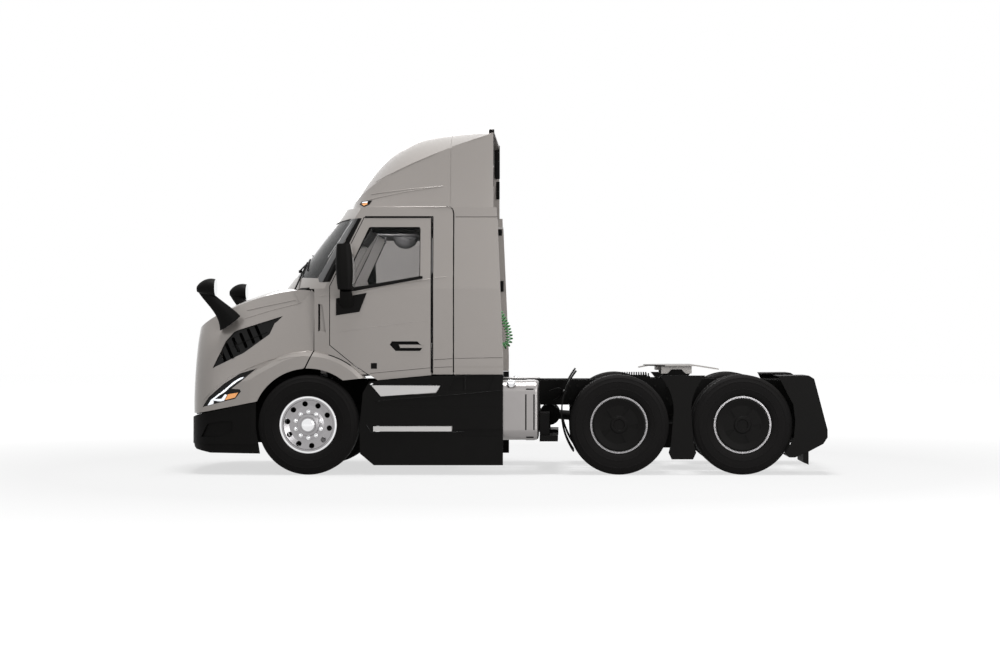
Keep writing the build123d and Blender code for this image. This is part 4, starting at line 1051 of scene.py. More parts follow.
# ---------------------------------------------------------------- curly electric line
@dataclass
class CurlyLine:
    """The green curly line that bows out behind the cab between two sockets."""

    lane: float = 0.120
    cable: float = 0.013
    coil: float = 0.085
    pitch: float = 0.033
    lead: float = 0.06
    steps_per_turn: int = 14
    length: float = 8.4
    route: tuple[tuple[float, float], ...] = (
        (0.468, 1.905), (0.345, 1.905), (0.210, 1.855), (0.090, 1.745), (0.005, 1.595),
        (-0.040, 1.455), (-0.028, 1.365), (0.050, 1.335), (0.155, 1.402), (0.265, 1.500),
        (0.375, 1.602), (0.468, 1.602),
    )

    def axis_points(self) -> list[Vector]:
        """Points along the coil's own middle, read from its smooth route."""
        data = Bench.spline("line_route", [(along, self.lane, height) for along, height in self.route])
        data.resolution_u = 24
        holder = bpy.data.objects.new("line_route", data)
        mesh = bpy.data.meshes.new_from_object(holder)
        points = [vertex.co.copy() for vertex in mesh.vertices]
        bpy.data.objects.remove(holder)
        bpy.data.meshes.remove(mesh)
        return points

    def helix(self) -> list[Vector]:
        """Points of the cable, wound about the route, with a straight lead at each end."""
        axis = self.axis_points()
        marks = [0.0]
        for here, there in zip(axis, axis[1:]):
            marks.append(marks[-1] + (there - here).length)
        whole = marks[-1]
        winding = (self.coil - self.cable) / 2
        turns = round((whole - 2 * self.lead) / self.pitch)
        count = turns * self.steps_per_turn
        points = [axis[0]]
        side = Vector(ACROSS)
        for step in range(count + 1):
            share = step / count
            travel = self.lead + (whole - 2 * self.lead) * share
            index = next(i for i, mark in enumerate(marks) if mark >= travel or i == len(marks) - 1)
            index = max(index, 1)
            span = marks[index] - marks[index - 1]
            ahead = (travel - marks[index - 1]) / span
            centre = axis[index - 1].lerp(axis[index], ahead)
            forward = (axis[index] - axis[index - 1]).normalized()
            across = forward.cross(side)
            ease = min(1.0, share * turns / 0.8, (1 - share) * turns / 0.8)
            wobble = 1.0 - 0.05 * (1.0 + math.sin(share * turns * 1.7))
            angle = 2 * math.pi * turns * share
            reach = winding * ease * wobble
            points.append(centre + (across * math.cos(angle) + side * math.sin(angle)) * reach)
        points.append(axis[-1])
        return points

    def build(self) -> None:
        """Winds the cable, and adds its two plugs."""
        data = Bench.spline("curly_line", self.helix())
        data.bevel_depth = self.cable / 2
        data.bevel_resolution = 2
        data.resolution_u = 2
        cable = bpy.data.objects.new("curly_line", data)
        bpy.context.scene.collection.objects.link(cable)
        data.materials.append(Finish.GREEN.material())
        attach(cable, "chassis")
        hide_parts("coil_cord")
        for number, (place, toward) in enumerate(
            ((self.route[0], self.route[1]), (self.route[-1], self.route[-2])), start=1
        ):
            body = Bench.rod(
                f"line_plug_{number}", (place[0] + 0.012, self.lane, place[1]),
                (place[0] - 0.055, self.lane, place[1]), 0.024, 28, 0.62,
            )
            Bench.bevel(body, 0.003, 2)
            fit(body, Finish.TRIM, "chassis")


# ---------------------------------------------------------------- wheels
@dataclass
class Tyre:
    """One tyre, spun from a moulded section with grooves, its tread cut after."""

    crown: float = 0.523
    half: float = 0.139
    groove: float = 0.013
    steps: int = 168
    lugs: bool = False
    wall: tuple[tuple[float, float], ...] = (
        (0.301, 0.1050), (0.306, 0.1112), (0.316, 0.1160), (0.322, 0.1215), (0.330, 0.1262),
        (0.344, 0.1300), (0.358, 0.1335), (0.368, 0.1352), (0.371, 0.1378), (0.377, 0.1382),
        (0.380, 0.1364), (0.400, 0.1378), (0.424, 0.1380), (0.446, 0.1366), (0.449, 0.1382),
        (0.455, 0.1376), (0.458, 0.1352), (0.474, 0.1318), (0.486, 0.1275), (0.489, 0.1288),
        (0.496, 0.1252), (0.504, 0.1190), (0.5125, 0.1090),
    )
    rib_edges: tuple[float, ...] = (0.095, 0.066, 0.056, 0.026, 0.016)

    def profile(self) -> list[tuple[float, float]]:
        """Radius and offset of the section, from the inner bead over the crown to the outer bead."""
        side = list(self.wall)
        tread = [(self.crown - 0.001, self.rib_edges[0])]
        floor = self.crown - self.groove
        for outer, inner in zip(self.rib_edges[1::2], self.rib_edges[2::2]):
            tread += [
                (self.crown, outer), (floor, outer - 0.001), (floor, inner + 0.001),
                (self.crown, inner),
            ]
        half = side + tread
        return half + [(radius, -offset) for radius, offset in reversed(half)]

    def build(self, name: str) -> bpy.types.Object:
        """Spins the section and cuts sipes or lug slots in its ribs.

        Args:
            name: the piece's name.

        Returns:
            A tyre about the row's origin, its axis along Y.
        """
        tyre = Bench.lathe(name, self.profile(), (0.0, 0.0, 0.0), self.steps)
        pitch = 2 * math.pi / self.steps
        every = 3 if self.lugs else 4
        for polygon in tyre.data.polygons:
            centre = polygon.center
            radius = math.hypot(centre.x, centre.z)
            turn = math.floor((math.atan2(centre.z, centre.x) % (2 * math.pi)) / pitch)
            outer = abs(centre.y) > self.rib_edges[1]
            polygon.select = radius > 0.505 and (outer or self.lugs) and turn % every == 0
        Bench.choose(tyre)
        bpy.ops.object.mode_set(mode="EDIT")
        bpy.ops.mesh.select_mode(type="FACE")
        bpy.ops.mesh.extrude_region_shrink_fatten(
            TRANSFORM_OT_shrink_fatten={"value": -0.009 if self.lugs else -0.004}
        )
        Bench.settle(name)
        return Bench.smooth(tyre, 0.5)


@dataclass
class Wheels:
    """All ten tyres, with nuts, caps and covers on the six wheels."""

    height: float = 0.523
    steer_x: float = 2.043
    drive_x: tuple[float, float] = (-1.210, -2.503)
    outer_y: float = 1.080
    inner_y: float = 0.737
    nut_circle: float = 0.1365
    nuts: int = 10
    nut_face: float = 1.158
    nut_height: float = 0.016
    nut_cap_height: float = 0.050
    cap_face: float = 1.1435
    cap_section: tuple[Flat, ...] = (
        (0.0, 0.073), (0.040, 0.0725), (0.062, 0.070), (0.072, 0.062), (0.076, 0.050),
        (0.084, 0.046), (0.092, 0.040), (0.104, 0.036), (0.108, 0.022),
    )
    lip_section: tuple[Flat, ...] = (
        (0.2995, 0.044), (0.298, 0.0495), (0.290, 0.0520), (0.280, 0.0500), (0.2745, 0.043),
        (0.272, 0.030),
    )
    lip_inset: float = 0.0045
    valve: tuple[Point, Point] = ((0.232, 1.163, 0.07), (0.226, 1.200, 0.068))
    cover_y: float = 1.10
    cover_radius: float = 0.2825

    def tyres(self) -> None:
        """Rib tyres in front and lug tyres behind."""
        rib = Tyre().build("rib_tyre")
        lug = Tyre(lugs=True).build("lug_tyre")
        for side, sign in SIDES.items():
            place = Matrix.Translation((self.steer_x, sign * self.outer_y, self.height))
            tyre = Bench.copy(rib, f"steer_tyre_{side}", place)
            fit(tyre, Finish.RUBBER, f"front_{side}_wheel")
            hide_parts(f"tyre_front_{side}")
            for number, (axle, stem) in enumerate(zip(self.drive_x, ("drive", "tag")), start=1):
                pair = [
                    Bench.copy(lug, f"lug_{y}", Matrix.Translation((axle, sign * y, self.height)))
                    for y in (self.outer_y, self.inner_y)
                ]
                twin = Bench.join(f"{stem}_tyres_{side}", pair)
                fit(twin, Finish.RUBBER, f"{stem}_{side}_wheels")
                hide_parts(f"tyres_rear_{number}_{side}")
        bpy.data.objects.remove(rib)
        bpy.data.objects.remove(lug)

    def steer_fittings(self) -> None:
        """Nut covers, a bright cap with its ribbed ring, and the rim's valve."""
        face = self.nut_face
        seat, top = face + self.nut_height, face + self.nut_cap_height
        parts = []
        for number in range(self.nuts):
            turn = 2 * math.pi * (number + 0.5) / self.nuts
            x = self.steer_x + self.nut_circle * math.cos(turn)
            z = self.height + self.nut_circle * math.sin(turn)
            base = Bench.rod(f"nut_{number}", (x, face, z), (x, seat, z), 0.0215, 20, 0.95)
            cap = Bench.rod(f"nut_cap_{number}", (x, seat, z), (x, top, z), 0.0175, 20, 0.72)
            Bench.bevel(cap, 0.005, 3)
            parts += [base, cap]
        ring = Bench.lathe(
            "cap_ring", self.cap_section, (self.steer_x, self.cap_face, self.height), 48
        )
        lip = Bench.lathe(
            "rim_lip", self.lip_section,
            (self.steer_x, self.cap_face - self.lip_inset, self.height), 96,
        )
        foot, tip = ((self.steer_x + x, y, self.height + z) for x, y, z in self.valve)
        stem = Bench.rod("valve", foot, tip, 0.005, 12)
        piece = Bench.join("steer_fittings", parts + [ring, lip, stem])
        both_sides(
            piece, "steer_fittings", Finish.CHROME, ("front_left_wheel", "front_right_wheel"),
        )

    def build(self) -> None:
        """Makes everything that turns."""
        self.tyres()
        self.steer_fittings()
        for side in SIDES:
            coat(f"rim_front_{side}", Finish.ALLOY)
            for number, axle in enumerate(self.drive_x, start=1):
                node = f"rims_rear_{number}_{side}"
                coat(node, Finish.ALLOY)
                coat_where(
                    node, Finish.TRIM,
                    lambda c, n, x=axle: abs(c.y) > self.cover_y
                    and math.hypot(c.x - x, c.z - self.height) < self.cover_radius,
                )


# ---------------------------------------------------------------- hood
@dataclass
class Hood:
    """Creases, lamps, vent bars, cheeks and mirror glass that tilt with the hood."""

    creases: tuple[Line, ...] = (
        Line(((3.178, 0.777), (3.047, 0.904), (2.879, 1.030), (2.673, 1.123), (2.477, 1.198),
              (2.253, 1.259), (2.020, 1.300)), 0.0045),
        Line(((2.587, 1.114), (2.437, 1.180), (2.251, 1.226), (2.075, 1.245)), 0.0035),
        Line(((2.735, 1.726), (2.470, 1.783), (2.195, 1.838)), 0.005),
        Line(((2.748, 1.641), (2.465, 1.726), (2.150, 1.802)), 0.0035),
    )
    guide: tuple[Panel, ...] = (
        Panel(((3.105, 0.725), (3.073, 0.776), (3.007, 0.837), (2.932, 0.898), (2.857, 0.963),
               (2.782, 1.010), (2.726, 1.024), (2.736, 1.006), (2.792, 0.977), (2.867, 0.917),
               (2.913, 0.870), (2.988, 0.823), (3.045, 0.776)), 0.004),
        Panel(((3.105, 0.725), (3.045, 0.776), (2.965, 0.767), (2.927, 0.776), (2.895, 0.837),
               (2.918, 0.842), (2.937, 0.818), (2.956, 0.795), (3.059, 0.790), (3.045, 0.740)), 0.004),
    )
    amber: tuple[Panel, ...] = (
        Panel(((2.918, 0.781), (2.885, 0.842), (2.778, 0.860), (2.810, 0.809)), 0.004),
    )
    vent_bars: tuple[Line, ...] = (
        Line(((2.876, 1.342), (2.660, 1.430), (2.501, 1.497)), 0.003, 0.003, 0.02),
        Line(((2.970, 1.178), (2.848, 1.225)), 0.003, 0.003, 0.02),
    )
    cheek: tuple[Flat, ...] = (
        (2.046, 1.934), (2.185, 1.944), (2.205, 1.900), (2.150, 1.800), (2.100, 1.838), (2.060, 1.890),
    )
    cheek_y: tuple[float, float] = (0.9725, 0.9765)
    mirror_z: tuple[float, float] = (1.95, 2.50)
    mirror_y: float = 1.2

    def mirrors(self) -> None:
        """Silvered faces of the hood mirrors and the door mirrors."""
        coat_where(
            "hood_mirrors", Finish.MIRROR, lambda c, n: c.x < 3.06 and n.x < -0.8 and c.z > 1.85
        )
        low, high = self.mirror_z
        for node in ("mirror_left", "mirror_right"):
            coat_where(
                node, Finish.MIRROR,
                lambda c, n: n.x < -0.98 and low < c.z < high and abs(c.y) > self.mirror_y,
            )

    def build(self) -> None:
        """Lays the lines and lamps on the hood."""
        dress(("hood", "grille", "headlamps"), BOTH_HOOD, (
            ("hood_creases", self.creases, Finish.BODY),
            ("lamp_guide", self.guide, Finish.WHITE_LIGHT),
            ("turn_signal", self.amber, Finish.AMBER),
            ("vent_bars", self.vent_bars, Finish.TRIM),
        ))
        inner, outer = self.cheek_y
        cheek = Bench.plate(
            "hood_cheek", [(x, inner, z) for x, z in self.cheek], (0.0, outer - inner, 0.0)
        )
        both_sides(cheek, "hood_cheek", Finish.BODY, BOTH_HOOD)
        self.mirrors()


# ---------------------------------------------------------------- cab shell and doors
@dataclass
class Cab:
    """Windshield surround, pillars, mouldings and lines of the fixed cab."""

    pillar: tuple[Panel, ...] = (
        Panel(((1.530, 2.690), (1.490, 2.690), (1.622, 2.420), (1.818, 2.022), (1.901, 2.018),
               (1.789, 2.235)), 0.002, 0.0005, 6),
    )
    flank: tuple[Panel, ...] = (
        Panel(((1.612, 2.684), (1.958, 2.064), (1.944, 2.022), (1.904, 2.020), (1.792, 2.236),
               (1.532, 2.688)), 0.0015, 0.0005, 8),
    )
    recess_band: tuple[Panel, ...] = (
        Panel(((1.943, 1.500), (1.943, 1.790), (1.926, 1.784), (1.926, 1.510)), 0.002, 0.0005, 2),
    )
    ridge: tuple[Line, ...] = (
        Line(((1.925, 1.871), (1.838, 1.888)), 0.004),
        Line(((0.728, 2.066), (0.600, 2.072)), 0.004),
        Line(((1.500, 2.798), (1.385, 2.809), (0.581, 2.809), (0.545, 2.796), (0.536, 2.780)), 0.006),
    )
    # Black beads laid in the cab's panel seams: painted shade in the gaps.
    seam_shade_lines: tuple[Line, ...] = (
        Line(((0.600, 2.812), (0.560, 2.806), (0.534, 2.785), (0.524, 2.740), (0.524, 2.690),
              (0.524, 2.000), (0.524, 1.070)), 0.0065),
        Line(((1.455, 2.708), (0.742, 2.708), (0.742, 2.640), (0.742, 1.060)), 0.0055),
        Line(((0.728, 1.123), (0.536, 1.130)), 0.002),
        Line(((0.728, 1.204), (0.536, 1.216)), 0.002),
    )
    # Painted reflection: a bright chrome bead along the windshield's side edge, standing in for the
    # reflected line on the curved glass.
    glass_edge_highlight: tuple[Line, ...] = (
        Line(((1.596, 2.660), (1.700, 2.520), (1.862, 2.286)), 0.0025, 0.001),
    )
    wiper_pivots: tuple[float, ...] = (0.30, 0.78)
    wiper_run: tuple[Point, ...] = (
        (2.235, 0.0, 0.004), (2.190, -0.16, 0.022), (2.150, -0.42, 0.018),
    )
    hub_radius: float = 0.018
    hub_height: float = 0.03
    arm_height: float = 0.025
    arm_radius: float = 0.009
    blade_radius: float = 0.007
    blade_lift: float = 0.012
    blade_knots: int = 7
    blade_pitch: Flat = (0.006, 0.10)

    def wipers(self) -> None:
        """Two wiper arms with blades along the foot of the windshield."""
        skin = Skin("cab_glass", "cowl", "cab_front")
        parts = []
        for pivot_y in self.wiper_pivots:
            foot, knee, tip = (
                skin.point((x, pivot_y + aside), View.TOP, lift) for x, aside, lift in self.wiper_run
            )
            hub_top = foot + Vector((0, 0, self.hub_height))
            parts.append(Bench.rod("wiper_hub", tuple(foot), tuple(hub_top), self.hub_radius))
            shoulder = foot + Vector((0, 0, self.arm_height))
            parts.append(Bench.tube("wiper_arm", (shoulder, knee, tip), self.arm_radius))
            end_x, end_aside, _ = self.wiper_run[-1]
            blade = [
                skin.point(
                    (end_x - self.blade_pitch[0] * step,
                     pivot_y + end_aside + self.blade_pitch[1] * (step - self.blade_knots // 2)),
                    View.TOP, self.blade_lift,
                )
                for step in range(self.blade_knots)
            ]
            parts.append(Bench.tube("wiper_blade", blade, self.blade_radius))
        skin.drop()
        fit(Bench.join("wipers", parts), Finish.TRIM, "chassis")

    def gaps(self) -> None:
        """Painted shade: black on the side faces inside the gaps round the doors, the hood and the side
        extenders, so the gaps stay dark.
        """
        coat_where(
            "cab_sides", Finish.SEAL,
            lambda c, n: abs(n.y) < 0.5 and c.x < 1.84 and c.z > 1.15 and abs(c.y) > 1.0,
        )
        coat_where("cab_front", Finish.SEAL, lambda c, n: abs(n.y) < 0.5 and n.x < -0.5 and c.x < 1.85)
        coat_where("hood", Finish.SEAL, lambda c, n: n.x < -0.7 and c.x < 2.2)
        coat_where("side_extenders", Finish.SEAL, lambda c, n: abs(n.x) > 0.9 and c.x > 0.4)

    def lining(self) -> None:
        """Grey lining on the faces that look into the cab."""
        def inward(centre: Vector, normal: Vector) -> bool:
            return centre.y * normal.y < 0 and abs(normal.y) > 0.5 and abs(centre.y) > 0.9

        for node in ("cab_sides", "cab_front", "door_left", "door_right"):
            coat_where(node, Finish.INTERIOR, inward)
        coat_where("cab_back", Finish.INTERIOR, lambda c, n: n.x > 0.7 and c.x > 0.55)
        coat_where("cab_front", Finish.INTERIOR, lambda c, n: n.x < -0.4 and abs(c.y) < 1.0)
        coat_where("cab_roof", Finish.INTERIOR, lambda c, n: n.z < -0.7)

    def build(self) -> None:
        """Dresses the cab."""
        self.gaps()
        self.lining()
        shell = ("cab_front", "cab_sides", "cab_back", "cab_glass", "roof_fairing", "side_extenders")
        dress(shell, BOTH_CHASSIS, (
            ("pillar_band", self.pillar, Finish.TRIM),
            ("glass_flank", self.flank, Finish.BORDER),
            ("intake_band", self.recess_band, Finish.SEAL),
            ("cab_ridges", self.ridge, Finish.BODY),
            ("cab_seam_shade_lines", self.seam_shade_lines, Finish.SEAL),
            ("glass_edge_highlight", self.glass_edge_highlight, Finish.CHROME),
        ))
        self.wipers()


@dataclass
class Doors:
    """Seals, sill bars, handles and lines that swing with the doors."""

    seals: tuple[Line, ...] = (
        Line(((0.876, 2.074), (0.873, 2.578), (0.885, 2.592), (1.393, 2.592), (1.409, 2.587),
              (1.642, 2.092), (1.592, 1.950)), 0.0065),
    )
    sill: tuple[Panel, ...] = (
        Panel(((1.640, 1.966), (1.560, 1.964), (0.872, 2.082), (0.848, 2.078), (0.848, 2.056),
               (0.872, 2.050), (1.560, 1.924), (1.640, 1.922)), 0.010),
    )
    ridge: tuple[Line, ...] = (
        Line(((1.560, 1.906), (1.256, 1.974), (0.765, 2.052)), 0.005),
        Line(((1.790, 1.478), (1.389, 1.543), (0.774, 1.617)), 0.0015),
    )
    # Black beads laid in the door gaps: painted shade.
    lines: tuple[Line, ...] = (
        Line(((1.460, 2.696), (0.7595, 2.696), (0.7595, 1.070)), 0.0045),
        Line(((1.400, 1.060), (0.765, 1.120)), 0.002),
    )
    corner_square: tuple[Panel, ...] = (
        Panel(((1.389, 1.109), (1.389, 1.169), (1.326, 1.169), (1.326, 1.109)), 0.003),
    )
    cup: tuple[float, float, float, float] = (0.840, 1.195, 1.290, 1.402)
    cup_depth: tuple[float, float] = (0.005, 0.060)
    flat_spot: Flat = (0.80, 1.35)

    def build(self) -> None:
        """Dresses both doors."""
        skin = Skin("door_left")
        face = skin.point(self.flat_spot).y
        skin.drop()
        dress(("door_left", "door_glass_left"), BOTH_DOORS, (
            ("window_seals", self.seals, Finish.SEAL),
            ("sill_bars", self.sill, Finish.TRIM),
            ("door_ridges", self.ridge, Finish.BODY),
            ("door_gap_shade_lines", self.lines, Finish.SEAL),
            ("door_squares", self.corner_square, Finish.TRIM),
        ))
        low_x, high_x, low_z, high_z = self.cup
        shallow, deep = self.cup_depth
        for node in ("door_left", "door_right"):
            # Painted shade: the door's edge faces inside the gaps are black.
            coat_where(node, Finish.SEAL, lambda c, n: abs(n.y) < 0.5 and abs(c.y) > 1.03)
            coat_where(
                node, Finish.TRIM,
                lambda c, n: low_x < c.x < high_x and low_z < c.z < high_z
                and face - deep < abs(c.y) < face - shallow,
            )


# ---------------------------------------------------------------- cab interior
@dataclass
class Cushion:
    """One stuffed part of a seat, from its side outline."""

    stem: str
    outline: tuple[Flat, ...]
    half: float
    edge: float = 0.045
    voxel: float = 0.009
    pressure: float = 4.0
    reach: float = 0.024
    frames: int = 20

    def swell(self, piece: bpy.types.Object) -> None:
        """Fills the cover from inside by cloth simulation, no point moving past the reach."""
        Bench.modify(piece, "REMESH", mode="VOXEL", voxel_size=self.voxel)
        start = [vertex.co.copy() for vertex in piece.data.vertices]
        Bench.choose(piece)
        bpy.ops.object.modifier_add(type="CLOTH")
        cloth = piece.modifiers[-1]
        cloth.settings.use_pressure = True
        cloth.settings.uniform_pressure_force = self.pressure
        cloth.settings.effector_weights.gravity = 0.0
        for frame in range(1, self.frames + 1):
            bpy.context.scene.frame_set(frame)
        bpy.ops.object.modifier_apply(modifier=cloth.name)
        bpy.context.scene.frame_set(1)
        for vertex, home in zip(piece.data.vertices, start):
            move = vertex.co - home
            if move.length > self.reach:
                vertex.co = home + move * (self.reach / move.length)

    def build(self, centre_y: float) -> bpy.types.Object:
        """Models the cushion.

        Args:
            centre_y: the middle of its seat.

        Returns:
            The cushion.
        """
        inset = self.half - 0.02
        corners = [(x, centre_y - inset, z) for x, z in self.outline]
        piece = Bench.plate(self.stem, corners, (0.0, 2 * inset, 0.0))
        Bench.modify(piece, "BEVEL", width=self.edge, segments=4, limit_method="ANGLE", angle_limit=0.5)
        self.swell(piece)
        return Bench.smooth(piece, 1.2)


@dataclass
class Interior:
    """Two padded seats, an overhead shelf and sun visors."""

    seat_y: float = 0.480
    frame_boxes: tuple[tuple[str, Point, Point, float], ...] = (
        ("pedestal", (0.92, -0.17, 1.092), (1.24, 0.17, 1.38), 0.02),
        ("pan", (0.81, -0.21, 1.375), (1.28, 0.21, 1.405), 0.01),
    )
    posts: tuple[tuple[str, float], ...] = (("post_a", -0.06), ("post_b", 0.06))
    post_run: tuple[Flat, Flat] = ((0.712, 2.15), (0.700, 2.23))
    post_radius: float = 0.007
    shelf: tuple[Point, Point] = ((0.93, -0.92, 2.545), (1.40, 0.92, 2.745))
    hook: tuple[Point, Point] = ((1.325, -0.02, 2.470), (1.341, 0.02, 2.550))
    pod_centre: Point = (1.113, 0.0, 2.540)
    pod_size: Point = (0.138, 0.138, 0.125)
    visor: tuple[Flat, ...] = ((1.475, 2.670), (1.610, 2.470), (1.602, 2.464), (1.467, 2.664))
    visor_y: float = 0.10
    visor_width: float = 0.75
    cushions: tuple[Cushion, ...] = (
        Cushion("seat_base", ((0.800, 1.425), (1.290, 1.425), (1.300, 1.520), (1.270, 1.540),
                              (0.900, 1.522), (0.800, 1.490)), 0.240),
        Cushion("seat_back", ((0.715, 1.530), (0.865, 1.530), (0.772, 2.165), (0.700, 2.175),
                              (0.665, 2.140)), 0.230),
        Cushion("seat_head", ((0.668, 2.210), (0.760, 2.205), (0.730, 2.365), (0.655, 2.365)), 0.130,
                edge=0.03),
    )

    def seats(self) -> None:
        """The driver's seat, then the passenger's as its copy."""
        shift = Matrix.Translation((0.0, -2 * self.seat_y, 0.0))
        for cushion in self.cushions:
            left = cushion.build(self.seat_y)
            right = Bench.copy(left, f"{cushion.stem}_right", shift)
            left.name = f"{cushion.stem}_left"
            for piece in (left, right):
                fit(piece, Finish.CLOTH, "chassis")
                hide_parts("seats")
        parts = [
            Bench.box(name, (x0, self.seat_y + y0, z0), (x1, self.seat_y + y1, z1), round_by)
            for name, (x0, y0, z0), (x1, y1, z1), round_by in self.frame_boxes
        ]
        for name, aside in self.posts:
            foot, top = ((x, self.seat_y + aside, z) for x, z in self.post_run)
            parts.append(Bench.rod(name, foot, top, self.post_radius))
        frame = Bench.join("seat_frame", parts)
        twin = Bench.copy(frame, "seat_frame_right", shift)
        frame.name = "seat_frame_left"
        for piece in (frame, twin):
            fit(piece, Finish.INTERIOR_DARK, "chassis")

    def overhead(self) -> None:
        """Shelf over the windshield with a rounded lamp pod, and two folded visors."""
        shelf = Bench.box("shelf", *self.shelf, 0.02)
        Bench.clear()
        bpy.ops.mesh.primitive_uv_sphere_add(segments=32, ring_count=16, radius=1.0)
        pod = Bench.settle("pod")
        pod.data.transform(
            Matrix.Translation(self.pod_centre) @ Matrix.Diagonal((*self.pod_size, 1.0))
        )
        Bench.smooth(pod, 1.2)
        hook = Bench.box("hook", *self.hook, 0.004)
        fit(Bench.join("overhead_shelf", [shelf, pod, hook]), Finish.INTERIOR_DARK, "chassis")
        visor = Bench.plate(
            "visor", [(x, self.visor_y, z) for x, z in self.visor], (0.0, self.visor_width, 0.0), 0.004
        )
        both_sides(visor, "sun_visor", Finish.INTERIOR_DARK, BOTH_CHASSIS)

    def build(self) -> None:
        """Furnishes the cab."""
        self.seats()
        self.overhead()


# ---------------------------------------------------------------- roof fairing and side extenders
@dataclass
class Fairing:
    """Creases, marker lamps and edge brackets behind and above the cab."""

    creases: tuple[Line, ...] = (
        Line(((1.360, 3.085), (1.247, 3.142), (0.957, 3.279), (0.580, 3.437)), 0.005),
        Line(((0.545, 3.450), (0.330, 3.521), (0.130, 3.586)), 0.005),
        Line(((1.402, 2.951), (0.984, 3.000), (0.640, 3.030)), 0.0045),
        Line(((1.450, 2.887), (1.064, 2.967), (0.807, 3.007), (0.640, 3.030)), 0.0045),
    )
    lamp_base: tuple[Panel, ...] = (
        Panel(((1.536, 2.850), (1.510, 2.880), (1.392, 2.884), (1.420, 2.842), (1.483, 2.820)), 0.003),
    )
    lamp_white: tuple[Panel, ...] = (
        Panel(((1.512, 2.862), (1.500, 2.874), (1.440, 2.876), (1.446, 2.862)), 0.003, 0.004),
    )
    lamp_amber: tuple[Panel, ...] = (
        Panel(((1.512, 2.856), (1.446, 2.857), (1.440, 2.846), (1.484, 2.832)), 0.003, 0.004),
    )
    # Black beads in the seams of the fairing and the extenders: painted shade in the gaps.
    split: tuple[Line, ...] = (
        Line(((0.505, 2.706), (0.066, 2.706)), 0.002),
    )
    sill_seam_shade: tuple[Line, ...] = (
        Line(((0.512, 1.216), (0.010, 1.229)), 0.0015),
    )
    brackets: tuple[tuple[float, float, float, float, float], ...] = (
        (0.107, 3.027, 0.142, 3.230, 1.030), (0.081, 2.612, 0.122, 2.683, 1.062),
        (0.063, 1.967, 0.099, 2.091, 1.105), (0.103, 3.256, 0.160, 3.640, 0.960),
    )

    def edge_brackets(self) -> None:
        """Black brackets on the inside of the panels' rear edges."""
        parts = [
            Bench.box("bracket", (x0, y - 0.035, z0), (x1, y, z1), 0.006)
            for x0, z0, x1, z1, y in self.brackets
        ]
        both_sides(
            Bench.join("edge_brackets", parts), "edge_brackets", Finish.TRIM, BOTH_CHASSIS,
        )

    def build(self) -> None:
        """Dresses the fairing."""
        dress(("roof_fairing", "side_extenders"), BOTH_CHASSIS, (
            ("fairing_creases", self.creases, Finish.BODY),
            ("marker_base", self.lamp_base, Finish.TRIM),
            ("marker_clear", self.lamp_white, Finish.WHITE_LIGHT),
            ("marker_amber", self.lamp_amber, Finish.AMBER),
            ("fairing_seam_shade", self.split, Finish.SEAL),
            ("extender_seam_shade", self.sill_seam_shade, Finish.SEAL),
        ))
        self.edge_brackets()


